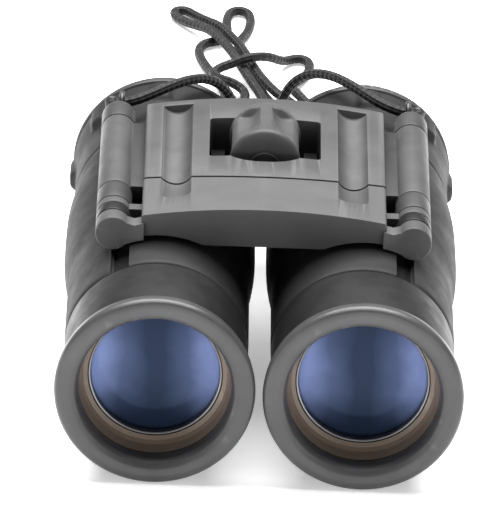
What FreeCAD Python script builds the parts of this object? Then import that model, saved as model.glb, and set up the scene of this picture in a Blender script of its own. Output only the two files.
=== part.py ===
import FreeCAD, Part
import math
import os

import Sketcher
from FreeCAD import Placement, Rotation, Vector

# Compact double-hinge roof-prism binoculars, folded for storage, in millimetres.
# +Z is up, +Y runs from the objectives to the eyepieces and +X is to the right
# of someone looking along +Y.  The object stands on the plane Z = 0, and Y = 0 is the
# middle of its length.  Stations along the barrels are counted from the front of the
# objectives, in DIMENSIONS and in every expression, and keep() moves each finished
# sub-part back by middle_y.  The strap's points are already counted from Y = 0.

DIMENSIONS = {
    # layout of the two barrels and the two hinges
    "axis_half": 19.25,        # barrel axis to the middle plane, folded
    "axis_high": 18.6,         # barrel axis above the table
    "hinge_half": 28.15,       # hinge axis to the middle plane
    "hinge_high": 37.15,       # hinge axis above the table
    "knuckle_rad": 3.3,
    "pin_rad": 1.2,
    "running": 0.05,           # radial clearance of a running fit
    "gap": 0.35,               # space between pieces that move past each other
    # stations along the hinge, from the front face to the rear cap
    "front_y": 30.2,
    "ear_b_end": 34.3,
    "ring_b_start": 34.6,
    "ring_b_end": 37.8,
    "ear_a_start": 38.1,
    "ear_a_end": 40.6,
    "ring_a_start": 40.9,
    "ring_a_end": 47.6,
    "long_start": 47.9,
    "long_end": 80.0,
    "cap_start": 80.3,
    "cap_end": 88.3,
    "pin_front": 31.0,
    "pin_rear": 89.0,
    "neck_half": 1.5,          # half the width of the objective's neck, up to its hinge ring
    "neck_low": 14.6,          # where the neck starts, from the barrel's axis
    "slot_half": 1.9,          # half the width of the slot the neck slides in
    "pad_half": 2.6,           # half the width of the barrel's two pads under its knuckles
    "pad_low": 15.8,
    "focus_travel": 2.8,
    # objective unit
    "bezel_rad": 18.6,
    "bezel_len": 3.0,
    "mouth_rad": 14.2,
    "collar_rad": 17.15,
    "collar_end": 20.8,
    "tube_rad": 15.4,
    "tube_bore": 13.6,
    "tube_end": 48.0,
    "glass_rad": 12.5,
    "glass_y": 10.2,
    "glass_thick": 3.4,
    "flint_thick": 1.8,
    "clear_rad": 12.0,
    # barrel
    "housing_bore": 15.45,
    "housing_rad": 16.4,
    "housing_start": 21.1,
    "housing_end": 106.6,
    "armour_rad": 17.2,
    "armour_end": 86.4,
    "bulge_rad": 18.2,
    "bulge_mid": 64.5,
    "bulge_sweep": 240,
    "grip_end": 106.8,
    "grip_rad": 17.6,
    "bump_rad": 18.5,
    "bump_y": 102.2,
    "bump_half": 2.6,
    "cage_bore": 12.2,         # tube that carries the two prisms
    "cage_front": 54.0,
    "cage_rear": 86.0,
    # eyepiece
    "rim_start": 107.1,
    "rim_end": 109.3,
    "rim_rad": 17.8,
    "cell_rad": 13.4,
    "cell_bore": 11.4,
    "cell_start": 92.0,
    "cell_end": 108.4,
    "cup_rad": 16.6,
    "cup_end": 112.2,
    "cup_bore": 11.0,
    # bridge
    "plate_half": 22.9,
    "plate_rear": 84.1,
    "crown_high": 43.0,        # top of the plate on the middle plane
    "crown_rad": 126.0,
    "belly_high": 34.9,
    "arch_rad": 18.1,
    "web_top": 38.8,
    "web_low": 36.2,
    "parting_y": 45.8,
    "parting_rad": 110.0,
    "parting_gap": 0.4,
    "window_half": 10.6,
    "window_front": 56.0,
    "window_rear": 74.4,
    "channel_x": 16.7,
    "channel_half": 2.9,
    "channel_deep": 1.0,
    "channel_front": 37.4,
    "channel_rear": 82.0,
    "cover_thick": 1.2,
    "seat_half": 10.2,         # recess for the cover under the rear plate
    "seat_rear": 81.5,
    "lid_half": 8.2,           # recess for the lid under the front plate
    "lid_front": 33.4,
    "lid_rear": 43.8,
    "lid_screw_x": 6.4,
    "lid_screw_y": 38.6,
    "cover_screw_x": 8.6,
    "screw_hole": 0.75,
    "screw_stem": 0.7,
    "screw_head": 1.3,
    "head_high": 0.5,
    # focusing
    "knob_rad": 6.8,
    "knob_front": 57.6,
    "knob_rear": 72.8,
    "knob_high": 40.4,
    "scoop_front": 51.2,       # front of the finger scoop in the plate before the wheel
    "scoop_rad": 7.3,
    "flute_rad": 1.7,
    "spindle_rad": 1.2,
    "spindle_front": 35.2,
    "spindle_rear": 79.6,
    "bush_rad": 1.9,
    "nut_top": 42.1,
    "nut_half": 3.6,           # room for the nut in the front plate
    "nut_front": 36.2,
    "nut_rear": 41.2,
    # strap
    "eye_ring": 1.9,
    "eye_wire": 0.5,
    "eye_foot_rad": 1.7,
    "eye_y": 91.4,
    "eye_high": 37.9,
    "cord_rad": 1.0,
    "middle_y": 56.1,          # objective front to the middle of the object, which is y = 0
}

doc = FreeCAD.newDocument("binoculars")
sheet = doc.addObject("Spreadsheet::Sheet", "dims")
for row, (alias, value) in enumerate(DIMENSIONS.items(), start=1):
    sheet.set("A%d" % row, alias)
    sheet.set("B%d" % row, "%g" % value)
    sheet.setAlias("B%d" % row, alias)
doc.recompute()

NODES = []
PLACED_Y = {}
SIDES = {"left": -1, "right": 1}


def size(alias):
    """A driving dimension, read from the sheet."""
    return float(sheet.get(alias))


def bound(text):
    """The text with each driving dimension's alias written as a reference to the sheet."""
    words, word = [], ""
    for letter in text + " ":
        if letter.isalnum() or letter == "_":
            word += letter
            continue
        words.append("dims." + word if word in DIMENSIONS else word)
        words.append(letter)
        word = ""
    return "".join(words).strip()


def bind(thing, **sizes):
    """Ties properties of an object to expressions in the driving dimensions."""
    for name, text in sizes.items():
        thing.setExpression(name, bound(str(text)))
    return thing


def place(thing, x="0", y="0", z="0", turn=None):
    """Puts an object at a point given by three expressions, turned first if asked."""
    if turn is not None:
        thing.Placement = Placement(Vector(0, 0, 0), turn)
    for axis, text in zip("xyz", (x, y, z)):
        thing.setExpression("Placement.Base." + axis, bound(str(text)))
    PLACED_Y[thing.Name] = str(y)
    return thing


ALONG_Y = Rotation(Vector(1, 0, 0), -90)
FACING_X = Rotation(Vector(0, 1, 0), 90)


def cylinder(name, radius, y0, y1, x="0", z="0"):
    """A round bar along Y from y0 to y1, about the line at x, z."""
    bar = doc.addObject("Part::Cylinder", name)
    bind(bar, Radius=radius, Height="(%s) - (%s)" % (y1, y0))
    return place(bar, x, y0, z, ALONG_Y)


def block(name, x0, x1, y0, y1, z0, z1):
    """A box between two corners, each coordinate an expression."""
    box = doc.addObject("Part::Box", name)
    bind(box, Length="(%s) - (%s)" % (x1, x0), Width="(%s) - (%s)" % (y1, y0),
         Height="(%s) - (%s)" % (z1, z0))
    return place(box, x0, y0, z0)


def fuse(name, *shapes):
    joined = doc.addObject("Part::MultiFuse", name)
    joined.Shapes = list(shapes)
    return joined


def cut(name, base, *tools):
    """base less the tools."""
    tool = tools[0] if len(tools) == 1 else fuse(name + "_tools", *tools)
    less = doc.addObject("Part::Cut", name)
    less.Base = base
    less.Tool = tool
    return less


def common(name, first, second):
    both = doc.addObject("Part::MultiCommon", name)
    both.Shapes = [first, second]
    return both


def keep(thing, node):
    """Marks a finished sub-part, counting its y from the middle of the object from here on."""
    thing.setExpression("Placement.Base.y", bound("(%s) - middle_y" % PLACED_Y.get(thing.Name, "0")))
    thing.Label = node
    NODES.append(thing)
    return thing


def origin_plane(body, role):
    return next(f for f in body.Origin.OriginFeatures if f.Role == role)


def turned(name, outline, x="0", z="0"):
    """A body turned about Y.  The outline is a closed ring of (radius, y) expressions."""
    body = doc.addObject("PartDesign::Body", name)
    sketch = body.newObject("Sketcher::SketchObject", name + "_outline")
    sketch.AttachmentSupport = [(origin_plane(body, "XY_Plane"), "")]
    sketch.MapMode = "FlatFace"
    scope = {alias: size(alias) for alias in DIMENSIONS}
    points = [Vector(value_of(r, scope), value_of(y, scope), 0) for r, y in outline]
    count = len(points)
    for i in range(count):
        sketch.addGeometry(Part.LineSegment(points[i], points[(i + 1) % count]), False)
    for i in range(count):
        sketch.addConstraint(Sketcher.Constraint("Coincident", i, 2, (i + 1) % count, 1))
    for i, (radius, along) in enumerate(outline):
        for kind, text, value in (("DistanceX", radius, points[i].x), ("DistanceY", along, points[i].y)):
            if abs(value) < 1e-9:
                line = -2 if kind == "DistanceX" else -1
                sketch.addConstraint(Sketcher.Constraint("PointOnObject", i, 1, line))
                continue
            index = sketch.addConstraint(Sketcher.Constraint(kind, i, 1, value))
            sketch.setExpression("Constraints[%d]" % index, bound(str(text)))
    turn = body.newObject("PartDesign::Revolution", name + "_turn")
    turn.Profile = (sketch, [""])
    turn.ReferenceAxis = (sketch, ["V_Axis"])
    turn.Angle = 360.0
    body.Tip = turn
    return place(body, x, "0", z)


def value_of(text, scope):
    """The number that an expression of sums, differences and products stands for."""
    total = 0.0
    for term in str(text).replace("-", "+-").split("+"):
        term = term.strip()
        if not term:
            continue
        product = 1.0
        if term.startswith("-"):
            product, term = -1.0, term[1:].strip()
        for factor in term.split("*"):
            factor = factor.strip()
            product *= scope[factor] if factor in scope else float(factor)
        total += product
    return total


def side_x(alias, sign):
    """The alias as an X coordinate on the left (-1) or right (+1) side."""
    return alias if sign > 0 else "-" + alias


# Angle of the line from a barrel's axis up to its hinge axis, from straight up.
LEAN = math.degrees(math.atan2(
    size("hinge_half") - size("axis_half"), size("hinge_high") - size("axis_high")))
REACH = math.hypot(
    size("hinge_half") - size("axis_half"), size("hinge_high") - size("axis_high"))


def radial_block(name, sign, half_width, y0, y1, low, high, round_by=0.0):
    """A block from low to high on a barrel's line up to its hinge, or round_by degrees past that line."""
    box = doc.addObject("Part::Box", name)
    bind(box, Length="2 * (%s)" % half_width, Width="(%s) - (%s)" % (y1, y0),
         Height="(%s) - (%s)" % (high, low))
    lean = math.radians(LEAN + round_by) * sign
    out = Vector(math.sin(lean), 0, math.cos(lean))
    across = Vector(math.cos(lean), 0, -math.sin(lean))
    box.Placement = Placement(Vector(0, 0, 0), Rotation(Vector(0, 1, 0), math.degrees(lean)))
    bind(box, **{
        "Placement.Base.x": "%s + (%s) * %.9f - (%s) * %.9f" % (
            side_x("axis_half", sign), low, out.x, half_width, across.x),
        "Placement.Base.y": y0,
        "Placement.Base.z": "axis_high + (%s) * %.9f - (%s) * %.9f" % (
            low, out.z, half_width, across.z),
    })
    return box


def knuckle(name, sign, y0, y1, grow="0"):
    return cylinder(name, "knuckle_rad + " + grow, y0, y1, side_x("hinge_half", sign), "hinge_high")


def pin_bore(name, sign, y0, y1, grow="running"):
    return cylinder(name, "pin_rad + " + grow, y0, y1, side_x("hinge_half", sign), "hinge_high")


# ---------------------------------------------------------------- objective units

def objective(side, sign):
    x = side_x("axis_half", sign)
    z = "axis_high"

    def on_axis(name, outline):
        return turned(name + "_" + side, outline, x, z)

    keep(on_axis("bezel", [
        ("mouth_rad", "1.6"),
        ("mouth_rad + 0.7", "0.5"),
        ("bezel_rad - 1.3", "0"),
        ("bezel_rad - 0.4", "0.3"),
        ("bezel_rad", "1.1"),
        ("bezel_rad", "bezel_len - 0.5"),
        ("bezel_rad - 0.5", "bezel_len"),
        ("mouth_rad + 0.9", "bezel_len"),
        ("mouth_rad + 0.9", "4.4"),
        ("mouth_rad", "4.4"),
    ]), "objective_bezel_" + side)

    barrel = on_axis("tube_blank", [
        ("mouth_rad + 0.9", "bezel_len"),
        ("collar_rad", "bezel_len"),
        ("collar_rad", "collar_end"),
        ("tube_rad", "collar_end"),
        ("tube_rad", "tube_end"),
        ("tube_bore", "tube_end"),
        ("tube_bore", "glass_y + glass_thick + flint_thick"),
        ("clear_rad", "glass_y + glass_thick + flint_thick"),
        ("clear_rad", "glass_y + glass_thick + flint_thick - 0.6"),
        ("glass_rad", "glass_y + glass_thick + flint_thick - 0.6"),
        ("glass_rad", "8.6"),
        ("mouth_rad", "8.6"),
        ("mouth_rad", "4.4"),
        ("mouth_rad + 0.9", "4.4"),
    ])
    neck = radial_block("neck_" + side, sign, "neck_half", "ring_b_start", "ring_b_end", "neck_low",
                        "%.6f" % REACH)
    ring = knuckle("ring_b_" + side, sign, "ring_b_start", "ring_b_end")
    bore = pin_bore("ring_b_bore_" + side, sign, "ring_b_start - 1", "ring_b_end + 1")
    solid = fuse("tube_solid_" + side, barrel, neck, ring)
    keep(cut("tube_" + side, solid, bore), "objective_tube_" + side)

    glass_back = "glass_y + glass_thick - 0.6"
    keep(on_axis("crown_glass", [
        ("0", "glass_y - 0.9"), ("6.5", "glass_y - 0.5"), ("10", "glass_y"),
        ("glass_rad", "glass_y + 0.5"), ("glass_rad", glass_back + " - 1"),
        ("7", glass_back + " - 0.3"), ("0", glass_back),
    ]), "objective_crown_lens_" + side)
    keep(on_axis("flint_glass", [
        ("0", glass_back), ("7", glass_back + " - 0.3"), ("glass_rad", glass_back + " - 1"),
        ("glass_rad", "glass_y + glass_thick + flint_thick - 0.6"),
        ("0", "glass_y + glass_thick + flint_thick - 0.6"),
    ]), "objective_flint_lens_" + side)
    keep(on_axis("retainer", [
        ("clear_rad", "8.7"), ("glass_rad", "8.7"), ("glass_rad", "glass_y + 0.4"),
        ("clear_rad", "glass_y + 0.3"),
    ]), "lens_retaining_ring_" + side)


# ---------------------------------------------------------------- barrels

def bump_ring(side, sign):
    """Finger bumps round the rear grip, none of them under the hinge."""
    x = side_x("axis_half", sign)
    drum = cylinder("bump_drum_" + side, "bump_rad", "bump_y - 5.5", "bump_y + 4.2", x, "axis_high")
    bars = [radial_block("bump_%s_%d" % (side, step), sign, "bump_half", "bump_y - 6", "bump_y + 5",
                         "14", "20", 45.0 * step + 22.5) for step in range(8)]
    return common("bumps_" + side, drum, fuse("bump_bars_" + side, *bars))


def grip_bulge(side, sign, where, out):
    """The long swelling on a flank of the rubber armour, where the fingers hold the barrel."""
    x = side_x("axis_half", sign)
    drum = cylinder("bulge_drum_%s_%s" % (where, side), "bulge_rad", "bulge_mid - 22", "bulge_mid + 21",
                    x, "axis_high")
    sweep = doc.addObject("Part::Cylinder", "bulge_sweep_%s_%s" % (where, side))
    bind(sweep, Radius="bulge_sweep", Height="20")
    place(sweep, "%s + (bulge_rad - bulge_sweep) * %d" % (x, out), "bulge_mid", "axis_high - 10")
    return common("bulge_%s_%s" % (where, side), drum, sweep)


def barrel(side, sign):
    x = side_x("axis_half", sign)
    z = "axis_high"

    def on_axis(name, outline):
        return turned(name + "_" + side, outline, x, z)

    # Space that the bridge's own knuckles sweep, and the slot for the objective's neck.
    clear_front = knuckle("clear_front_" + side, sign, "housing_start - 1", "ring_a_start - 0.05", "gap")
    clear_long = knuckle("clear_long_" + side, sign, "ring_a_end + 0.05", "cap_start - 0.05", "gap")
    slot = radial_block("slot_" + side, sign, "slot_half", "housing_start - 1", "ring_b_end + 0.5",
                        "13", "22")

    shell = on_axis("housing_blank", [
        ("housing_bore", "housing_start"), ("housing_rad", "housing_start"),
        ("housing_rad", "housing_end"), ("cell_rad + running", "housing_end"),
        ("cell_rad + running", "96"), ("housing_bore", "94"),
    ])
    pad_front = radial_block("pad_front_" + side, sign, "pad_half", "ring_a_start", "ring_a_end", "pad_low",
                             "%.6f" % REACH)
    pad_rear = radial_block("pad_rear_" + side, sign, "pad_half", "cap_start", "cap_end - 1.2", "pad_low",
                            "%.6f" % REACH)
    ring = knuckle("ring_a_" + side, sign, "ring_a_start", "ring_a_end")
    cap_blank = turned("cap_" + side, [
        ("0", "cap_start"), ("knuckle_rad", "cap_start"), ("knuckle_rad", "cap_end - 2"),
        ("knuckle_rad - 0.3", "cap_end - 1.1"), ("knuckle_rad - 1", "cap_end - 0.3"),
        ("knuckle_rad - 1.7", "cap_end"), ("0", "cap_end"),
    ], side_x("hinge_half", sign), "hinge_high")
    bore = pin_bore("barrel_bore_" + side, sign, "ring_a_start - 1", "cap_end + 1")
    slotted = cut("housing_slotted_" + side, shell, clear_front, clear_long, slot)
    whole = fuse("housing_whole_" + side, slotted, pad_front, pad_rear, ring, cap_blank)
    keep(cut("housing_" + side, whole, bore), "barrel_housing_" + side)

    skin = on_axis("armour_blank", [
        ("housing_rad", "housing_start"), ("armour_rad - 0.5", "housing_start"),
        ("armour_rad", "housing_start + 0.8"), ("armour_rad", "armour_end - 0.6"),
        ("armour_rad - 0.5", "armour_end"), ("housing_rad", "armour_end"),
    ])
    bulges = [grip_bulge(side, sign, "outer", sign), grip_bulge(side, sign, "inner", -sign)]
    core = cylinder("armour_core_" + side, "housing_rad", "housing_start - 5", "armour_end + 5", x, z)
    pad_gap_front = radial_block("pad_gap_front_" + side, sign, "pad_half", "ring_a_start", "ring_a_end",
                                 "10", "22")
    pad_gap_rear = radial_block("pad_gap_rear_" + side, sign, "pad_half", "cap_start", "cap_end",
                                "10", "22")
    ring_gap = knuckle("ring_gap_" + side, sign, "housing_start - 1", "armour_end + 1", "gap")
    rough = fuse("armour_rough_" + side, skin, *bulges)
    keep(cut("armour_" + side, rough, core, ring_gap, pad_gap_front, pad_gap_rear,
             radial_block("armour_slot_" + side, sign, "slot_half", "housing_start - 1", "ring_b_end + 0.5",
                          "10", "22")),
         "rubber_armour_" + side)

    grip_blank = on_axis("grip_blank", [
        ("housing_rad", "armour_end + 0.7"), ("armour_rad - 0.4", "armour_end + 0.7"),
        ("armour_rad", "armour_end + 1.3"), ("armour_rad + 0.1", "98"),
        ("grip_rad", "104"), ("grip_rad", "grip_end"), ("housing_rad", "grip_end"),
    ])
    grip_core = cylinder("grip_core_" + side, "housing_rad", "armour_end - 2", "grip_end + 2", x, z)
    grip_room = knuckle("grip_room_" + side, sign, "armour_end - 1", "cap_end + 0.6", "gap")
    pad_room = radial_block("pad_room_" + side, sign, "pad_half", "armour_end - 1", "cap_end", "10", "22")
    keep(cut("grip_" + side, fuse("grip_rough_" + side, grip_blank, bump_ring(side, sign)),
             grip_core, grip_room, pad_room), "rear_grip_" + side)

    cage_tube = on_axis("cage_blank", [
        ("cage_bore", "cage_front"), ("housing_bore", "cage_front"),
        ("housing_bore", "cage_rear"), ("cage_bore", "cage_rear"),
    ])
    keep(cut("cage_" + side, cage_tube,
             block("cage_window_" + side, "%s - 7" % x, "%s + 7" % x, "cage_front + 4",
                   "cage_rear - 4", "axis_high - 20", "axis_high + 20")), "prism_cage_" + side)
    roof_prism(side, x)
    half_prism(side, x)


def prism_solid(name, corners, x, half):
    """A prism with its corners given as (y, z) pairs about the barrel axis, and its width along X."""
    z = size("axis_high")
    points = [Vector(0, y, z + up) for y, up in corners]
    face = Part.Face(Part.makePolygon(points + points[:1]))
    feature = doc.addObject("Part::Feature", name)
    feature.Shape = face.extrude(Vector(2 * half, 0, 0))
    return place(feature, "(%s) - %g" % (x, half))


def roof_prism(side, x):
    """The rear prism of the pair, with its roof faces meeting in a ridge on top."""
    profile = [(70.4, -6.5), (84, -6.5), (84, 5.0), (80, 8.6), (74, 8.6)]
    body = prism_solid("roof_blank_" + side, profile, x, 6.6)
    ridge = prism_solid("roof_ridge_" + side, [(69, -8), (86, -8), (86, 10), (69, 10)], x, 6.6)
    for cutter, lean in (("a", 45), ("b", -45)):
        wedge = doc.addObject("Part::Box", "roof_wedge_%s_%s" % (cutter, side))
        bind(wedge, Length="20", Width="20", Height="12")
        wedge.Placement = Placement(Vector(0, 0, 0), Rotation(Vector(0, 1, 0), lean))
        shift = -20 * math.cos(math.radians(45)) if lean < 0 else 0.0
        place_x = "(%s) + %.6f" % (x, shift)
        rise = -20 * math.sin(math.radians(45)) if lean < 0 else 0.0
        bind(wedge, **{"Placement.Base.x": place_x, "Placement.Base.y": "68",
                       "Placement.Base.z": "axis_high + 8.6 + %.6f" % rise})
        ridge = cut("roof_ridge_%s_%s" % (cutter, side), ridge, wedge)
    keep(common("roof_" + side, body, ridge), "roof_prism_" + side)


def half_prism(side, x):
    """The front prism of the pair, a half pentagon in profile."""
    keep(prism_solid("half_" + side, [(56, -8), (69.8, -8), (69.8, -2), (62, 7.5), (56, 7.5)], x, 7.0),
         "half_prism_" + side)


def eyepiece(side, sign):
    x = side_x("axis_half", sign)
    z = "axis_high"

    def on_axis(name, outline):
        return turned(name + "_" + side, outline, x, z)

    keep(on_axis("cell", [
        ("cell_bore", "cell_start"), ("cell_rad - 0.05", "cell_start"),
        ("cell_rad - 0.05", "rim_start - 0.1"), ("cell_rad - 0.05", "cell_end"),
        ("9.2", "cell_end"), ("9.2", "cell_end - 0.8"), ("cell_bore - 0.6", "cell_end - 0.8"),
        ("cell_bore - 0.6", "99"), ("cell_bore", "99"),
    ]), "eyepiece_cell_" + side)
    keep(on_axis("field_lens", [
        ("0", "93.2"), ("6", "93.6"), ("cell_bore", "94.6"), ("cell_bore", "98.9"), ("0", "98.9"),
    ]), "field_lens_" + side)
    keep(on_axis("eye_lens", [
        ("0", "101.8"), ("cell_bore - 0.6", "102.6"), ("cell_bore - 0.6", "cell_end - 0.9"),
        ("9.0", "cell_end - 0.9"), ("6", "cell_end - 0.4"), ("0", "cell_end - 0.1"),
    ]), "eye_lens_" + side)
    keep(on_axis("rim", [
        ("cell_rad + 0.15", "rim_start"), ("rim_rad - 0.5", "rim_start"), ("rim_rad", "rim_start + 0.5"),
        ("rim_rad", "rim_end - 0.5"), ("rim_rad - 0.5", "rim_end"), ("cell_rad + 1.6", "rim_end"),
        ("cell_rad + 1.6", "rim_start + 1"), ("cell_rad + 0.15", "rim_start + 1"),
    ]), "eyepiece_rim_left" if side == "left" else "diopter_ring")
    keep(on_axis("cup", [
        ("cell_rad - 0.05", "rim_start + 1.8"), ("cell_rad + 1.2", "rim_start + 1.8"),
        ("cell_rad + 1.2", "rim_end + 0.8"), ("cup_rad", "rim_end + 0.9"),
        ("cup_rad", "cup_end - 0.5"), ("cup_rad - 0.5", "cup_end"), ("cup_rad - 1.4", "cup_end"),
        ("cup_bore + 1.6", "cell_end + 0.9"), ("cup_bore", "cell_end + 0.9"),
        ("cup_bore", "cell_end"), ("cell_rad - 0.05", "cell_end"),
    ]), "eyecup_" + side)


# ---------------------------------------------------------------- bridge

def plate_blank(name, y0, y1):
    """The arched plate between the hinges: a crowned top, a flat belly and an arch over each barrel."""
    slab = block(name + "_slab", "-plate_half", "plate_half", y0, y1, "belly_high", "crown_high + 1")
    crown = cylinder(name + "_crown", "crown_rad", y0, y1, "0", "crown_high - crown_rad")
    dome = common(name + "_dome", slab, crown)
    arches = [cylinder("%s_arch_%s" % (name, side), "arch_rad", y0 + " - 1", y1 + " + 1",
                       side_x("axis_half", sign), "axis_high") for side, sign in SIDES.items()]
    return cut(name + "_arched", dome, *arches)


def channels(name, y0, y1):
    """The two shallow grooves that run along the plate, one each side of the knob."""
    cutters = []
    for side, sign in SIDES.items():
        x = side_x("channel_x", sign)
        cutters.append(block("%s_channel_%s" % (name, side), x + " - channel_half",
                             x + " + channel_half", y0, y1, "crown_high - 1.2 - channel_deep",
                             "crown_high + 2"))
    return cutters


def parting(name, grow):
    """The round drum whose face is the parting line across the plate."""
    drum = doc.addObject("Part::Cylinder", name)
    bind(drum, Radius="parting_rad + (%s)" % grow, Height="40")
    return place(drum, "0", "parting_y + parting_rad", "belly_high - 10")


def web(name, sign, y0, y1):
    """The strip that joins the plate's edge to a knuckle."""
    inner = "plate_half - 0.5"
    outer = "hinge_half - 1.5"
    if sign > 0:
        return block(name, inner, outer, y0, y1, "web_low", "web_top")
    return block(name, "-(%s)" % outer, "-(%s)" % inner, y0, y1, "web_low", "web_top")


def bridge():
    plate = common("rear_plate", plate_blank("rear", "parting_y - 2", "plate_rear"),
                   parting("rear_parting", "-parting_gap / 2"))
    parts, bores = [plate], []
    for side, sign in SIDES.items():
        parts.append(knuckle("long_" + side, sign, "long_start", "long_end"))
        parts.append(web("long_web_" + side, sign, "long_start + 1", "long_end - 0.4"))
        bores.append(pin_bore("long_bore_" + side, sign, "long_start - 1", "long_end + 1", "0"))
    window = block("window", "-window_half", "window_half", "window_front", "window_rear",
                   "belly_high - 1", "crown_high + 3")
    cover_seat = block("cover_seat", "-seat_half", "seat_half", "parting_y + 3", "seat_rear",
                       "belly_high - 1", "belly_high + cover_thick")
    spindle_way = cylinder("spindle_way", "bush_rad", "parting_y - 3", "80", "0", "knob_high")
    scoop = doc.addObject("Part::Cone", "wheel_scoop")
    bind(scoop, Radius1="scoop_rad - 4.6", Radius2="scoop_rad + 0.2",
         Height="window_front - scoop_front + 0.2")
    place(scoop, "0", "scoop_front", "knob_high", ALONG_Y)
    body = cut("bridge", fuse("bridge_solid", *parts), window, cover_seat, spindle_way, scoop,
               *bores, *channels("rear", "parting_y - 3", "channel_rear"))
    keep(body, "bridge_body")

    cover = block("cover_blank", "-seat_half + 0.1", "seat_half - 0.1", "parting_y + 3.1",
                  "seat_rear - 0.1", "belly_high", "belly_high + cover_thick")
    slot = block("cover_slot", "-7.6", "7.6", "window_front", "window_rear", "belly_high - 1",
                 "belly_high + 3")
    screw_spots = [(x, y) for x in ("-cover_screw_x", "cover_screw_x") for y in ("52.4", "78")]
    holes, heads = [], []
    for number, (x, y) in enumerate(screw_spots):
        holes.append(upright("cover_hole_%d" % number, "screw_hole", x, y, "belly_high - 1",
                             "belly_high + 3"))
        stem = upright("screw_stem_%d" % number, "screw_stem", x, y, "belly_high", "belly_high + 3.6")
        head = upright("screw_head_%d" % number, "screw_head", x, y, "belly_high - head_high",
                       "belly_high")
        heads.append(fuse("screw_%d" % number, head, stem))
    keep(cut("cover", cover, slot, *holes), "bridge_cover")
    keep(fuse("screws", *heads), "cover_screws")
    for name, y0, y1 in (("front", "parting_y + 3.2", "window_front"),
                         ("rear", "window_rear", "spindle_rear + 0.3")):
        keep(turned("bush_" + name, [
            ("spindle_rad + running", y0), ("bush_rad", y0), ("bush_rad", y1),
            ("spindle_rad + running", y1),
        ], "0", "knob_high"), "spindle_bush_" + name)
    for side, sign in SIDES.items():
        hinge = side_x("hinge_half", sign)
        keep(cylinder("pin_" + side, "pin_rad", "pin_front", "pin_rear", hinge, "hinge_high"),
             "hinge_pin_" + side)
        eye = doc.addObject("Part::Torus", "eye_" + side)
        bind(eye, Radius1="eye_ring", Radius2="eye_wire")
        place(eye, side_x("(hinge_half - 0.4)", sign), "eye_y", "eye_high", FACING_X)
        foot = cylinder("eye_foot_" + side, "eye_foot_rad", "cap_end + 0.3", "pin_rear + 0.9", hinge,
                        "hinge_high")
        well = pin_bore("eye_well_" + side, sign, "cap_end", "pin_rear", "0")
        keep(cut("lug_" + side, fuse("lug_solid_" + side, foot, eye), well), "strap_lug_" + side)


def upright(name, radius, x, y, z0, z1):
    """A round bar along Z."""
    bar = doc.addObject("Part::Cylinder", name)
    bind(bar, Radius=radius, Height="(%s) - (%s)" % (z1, z0))
    return place(bar, x, y, z0)


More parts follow.
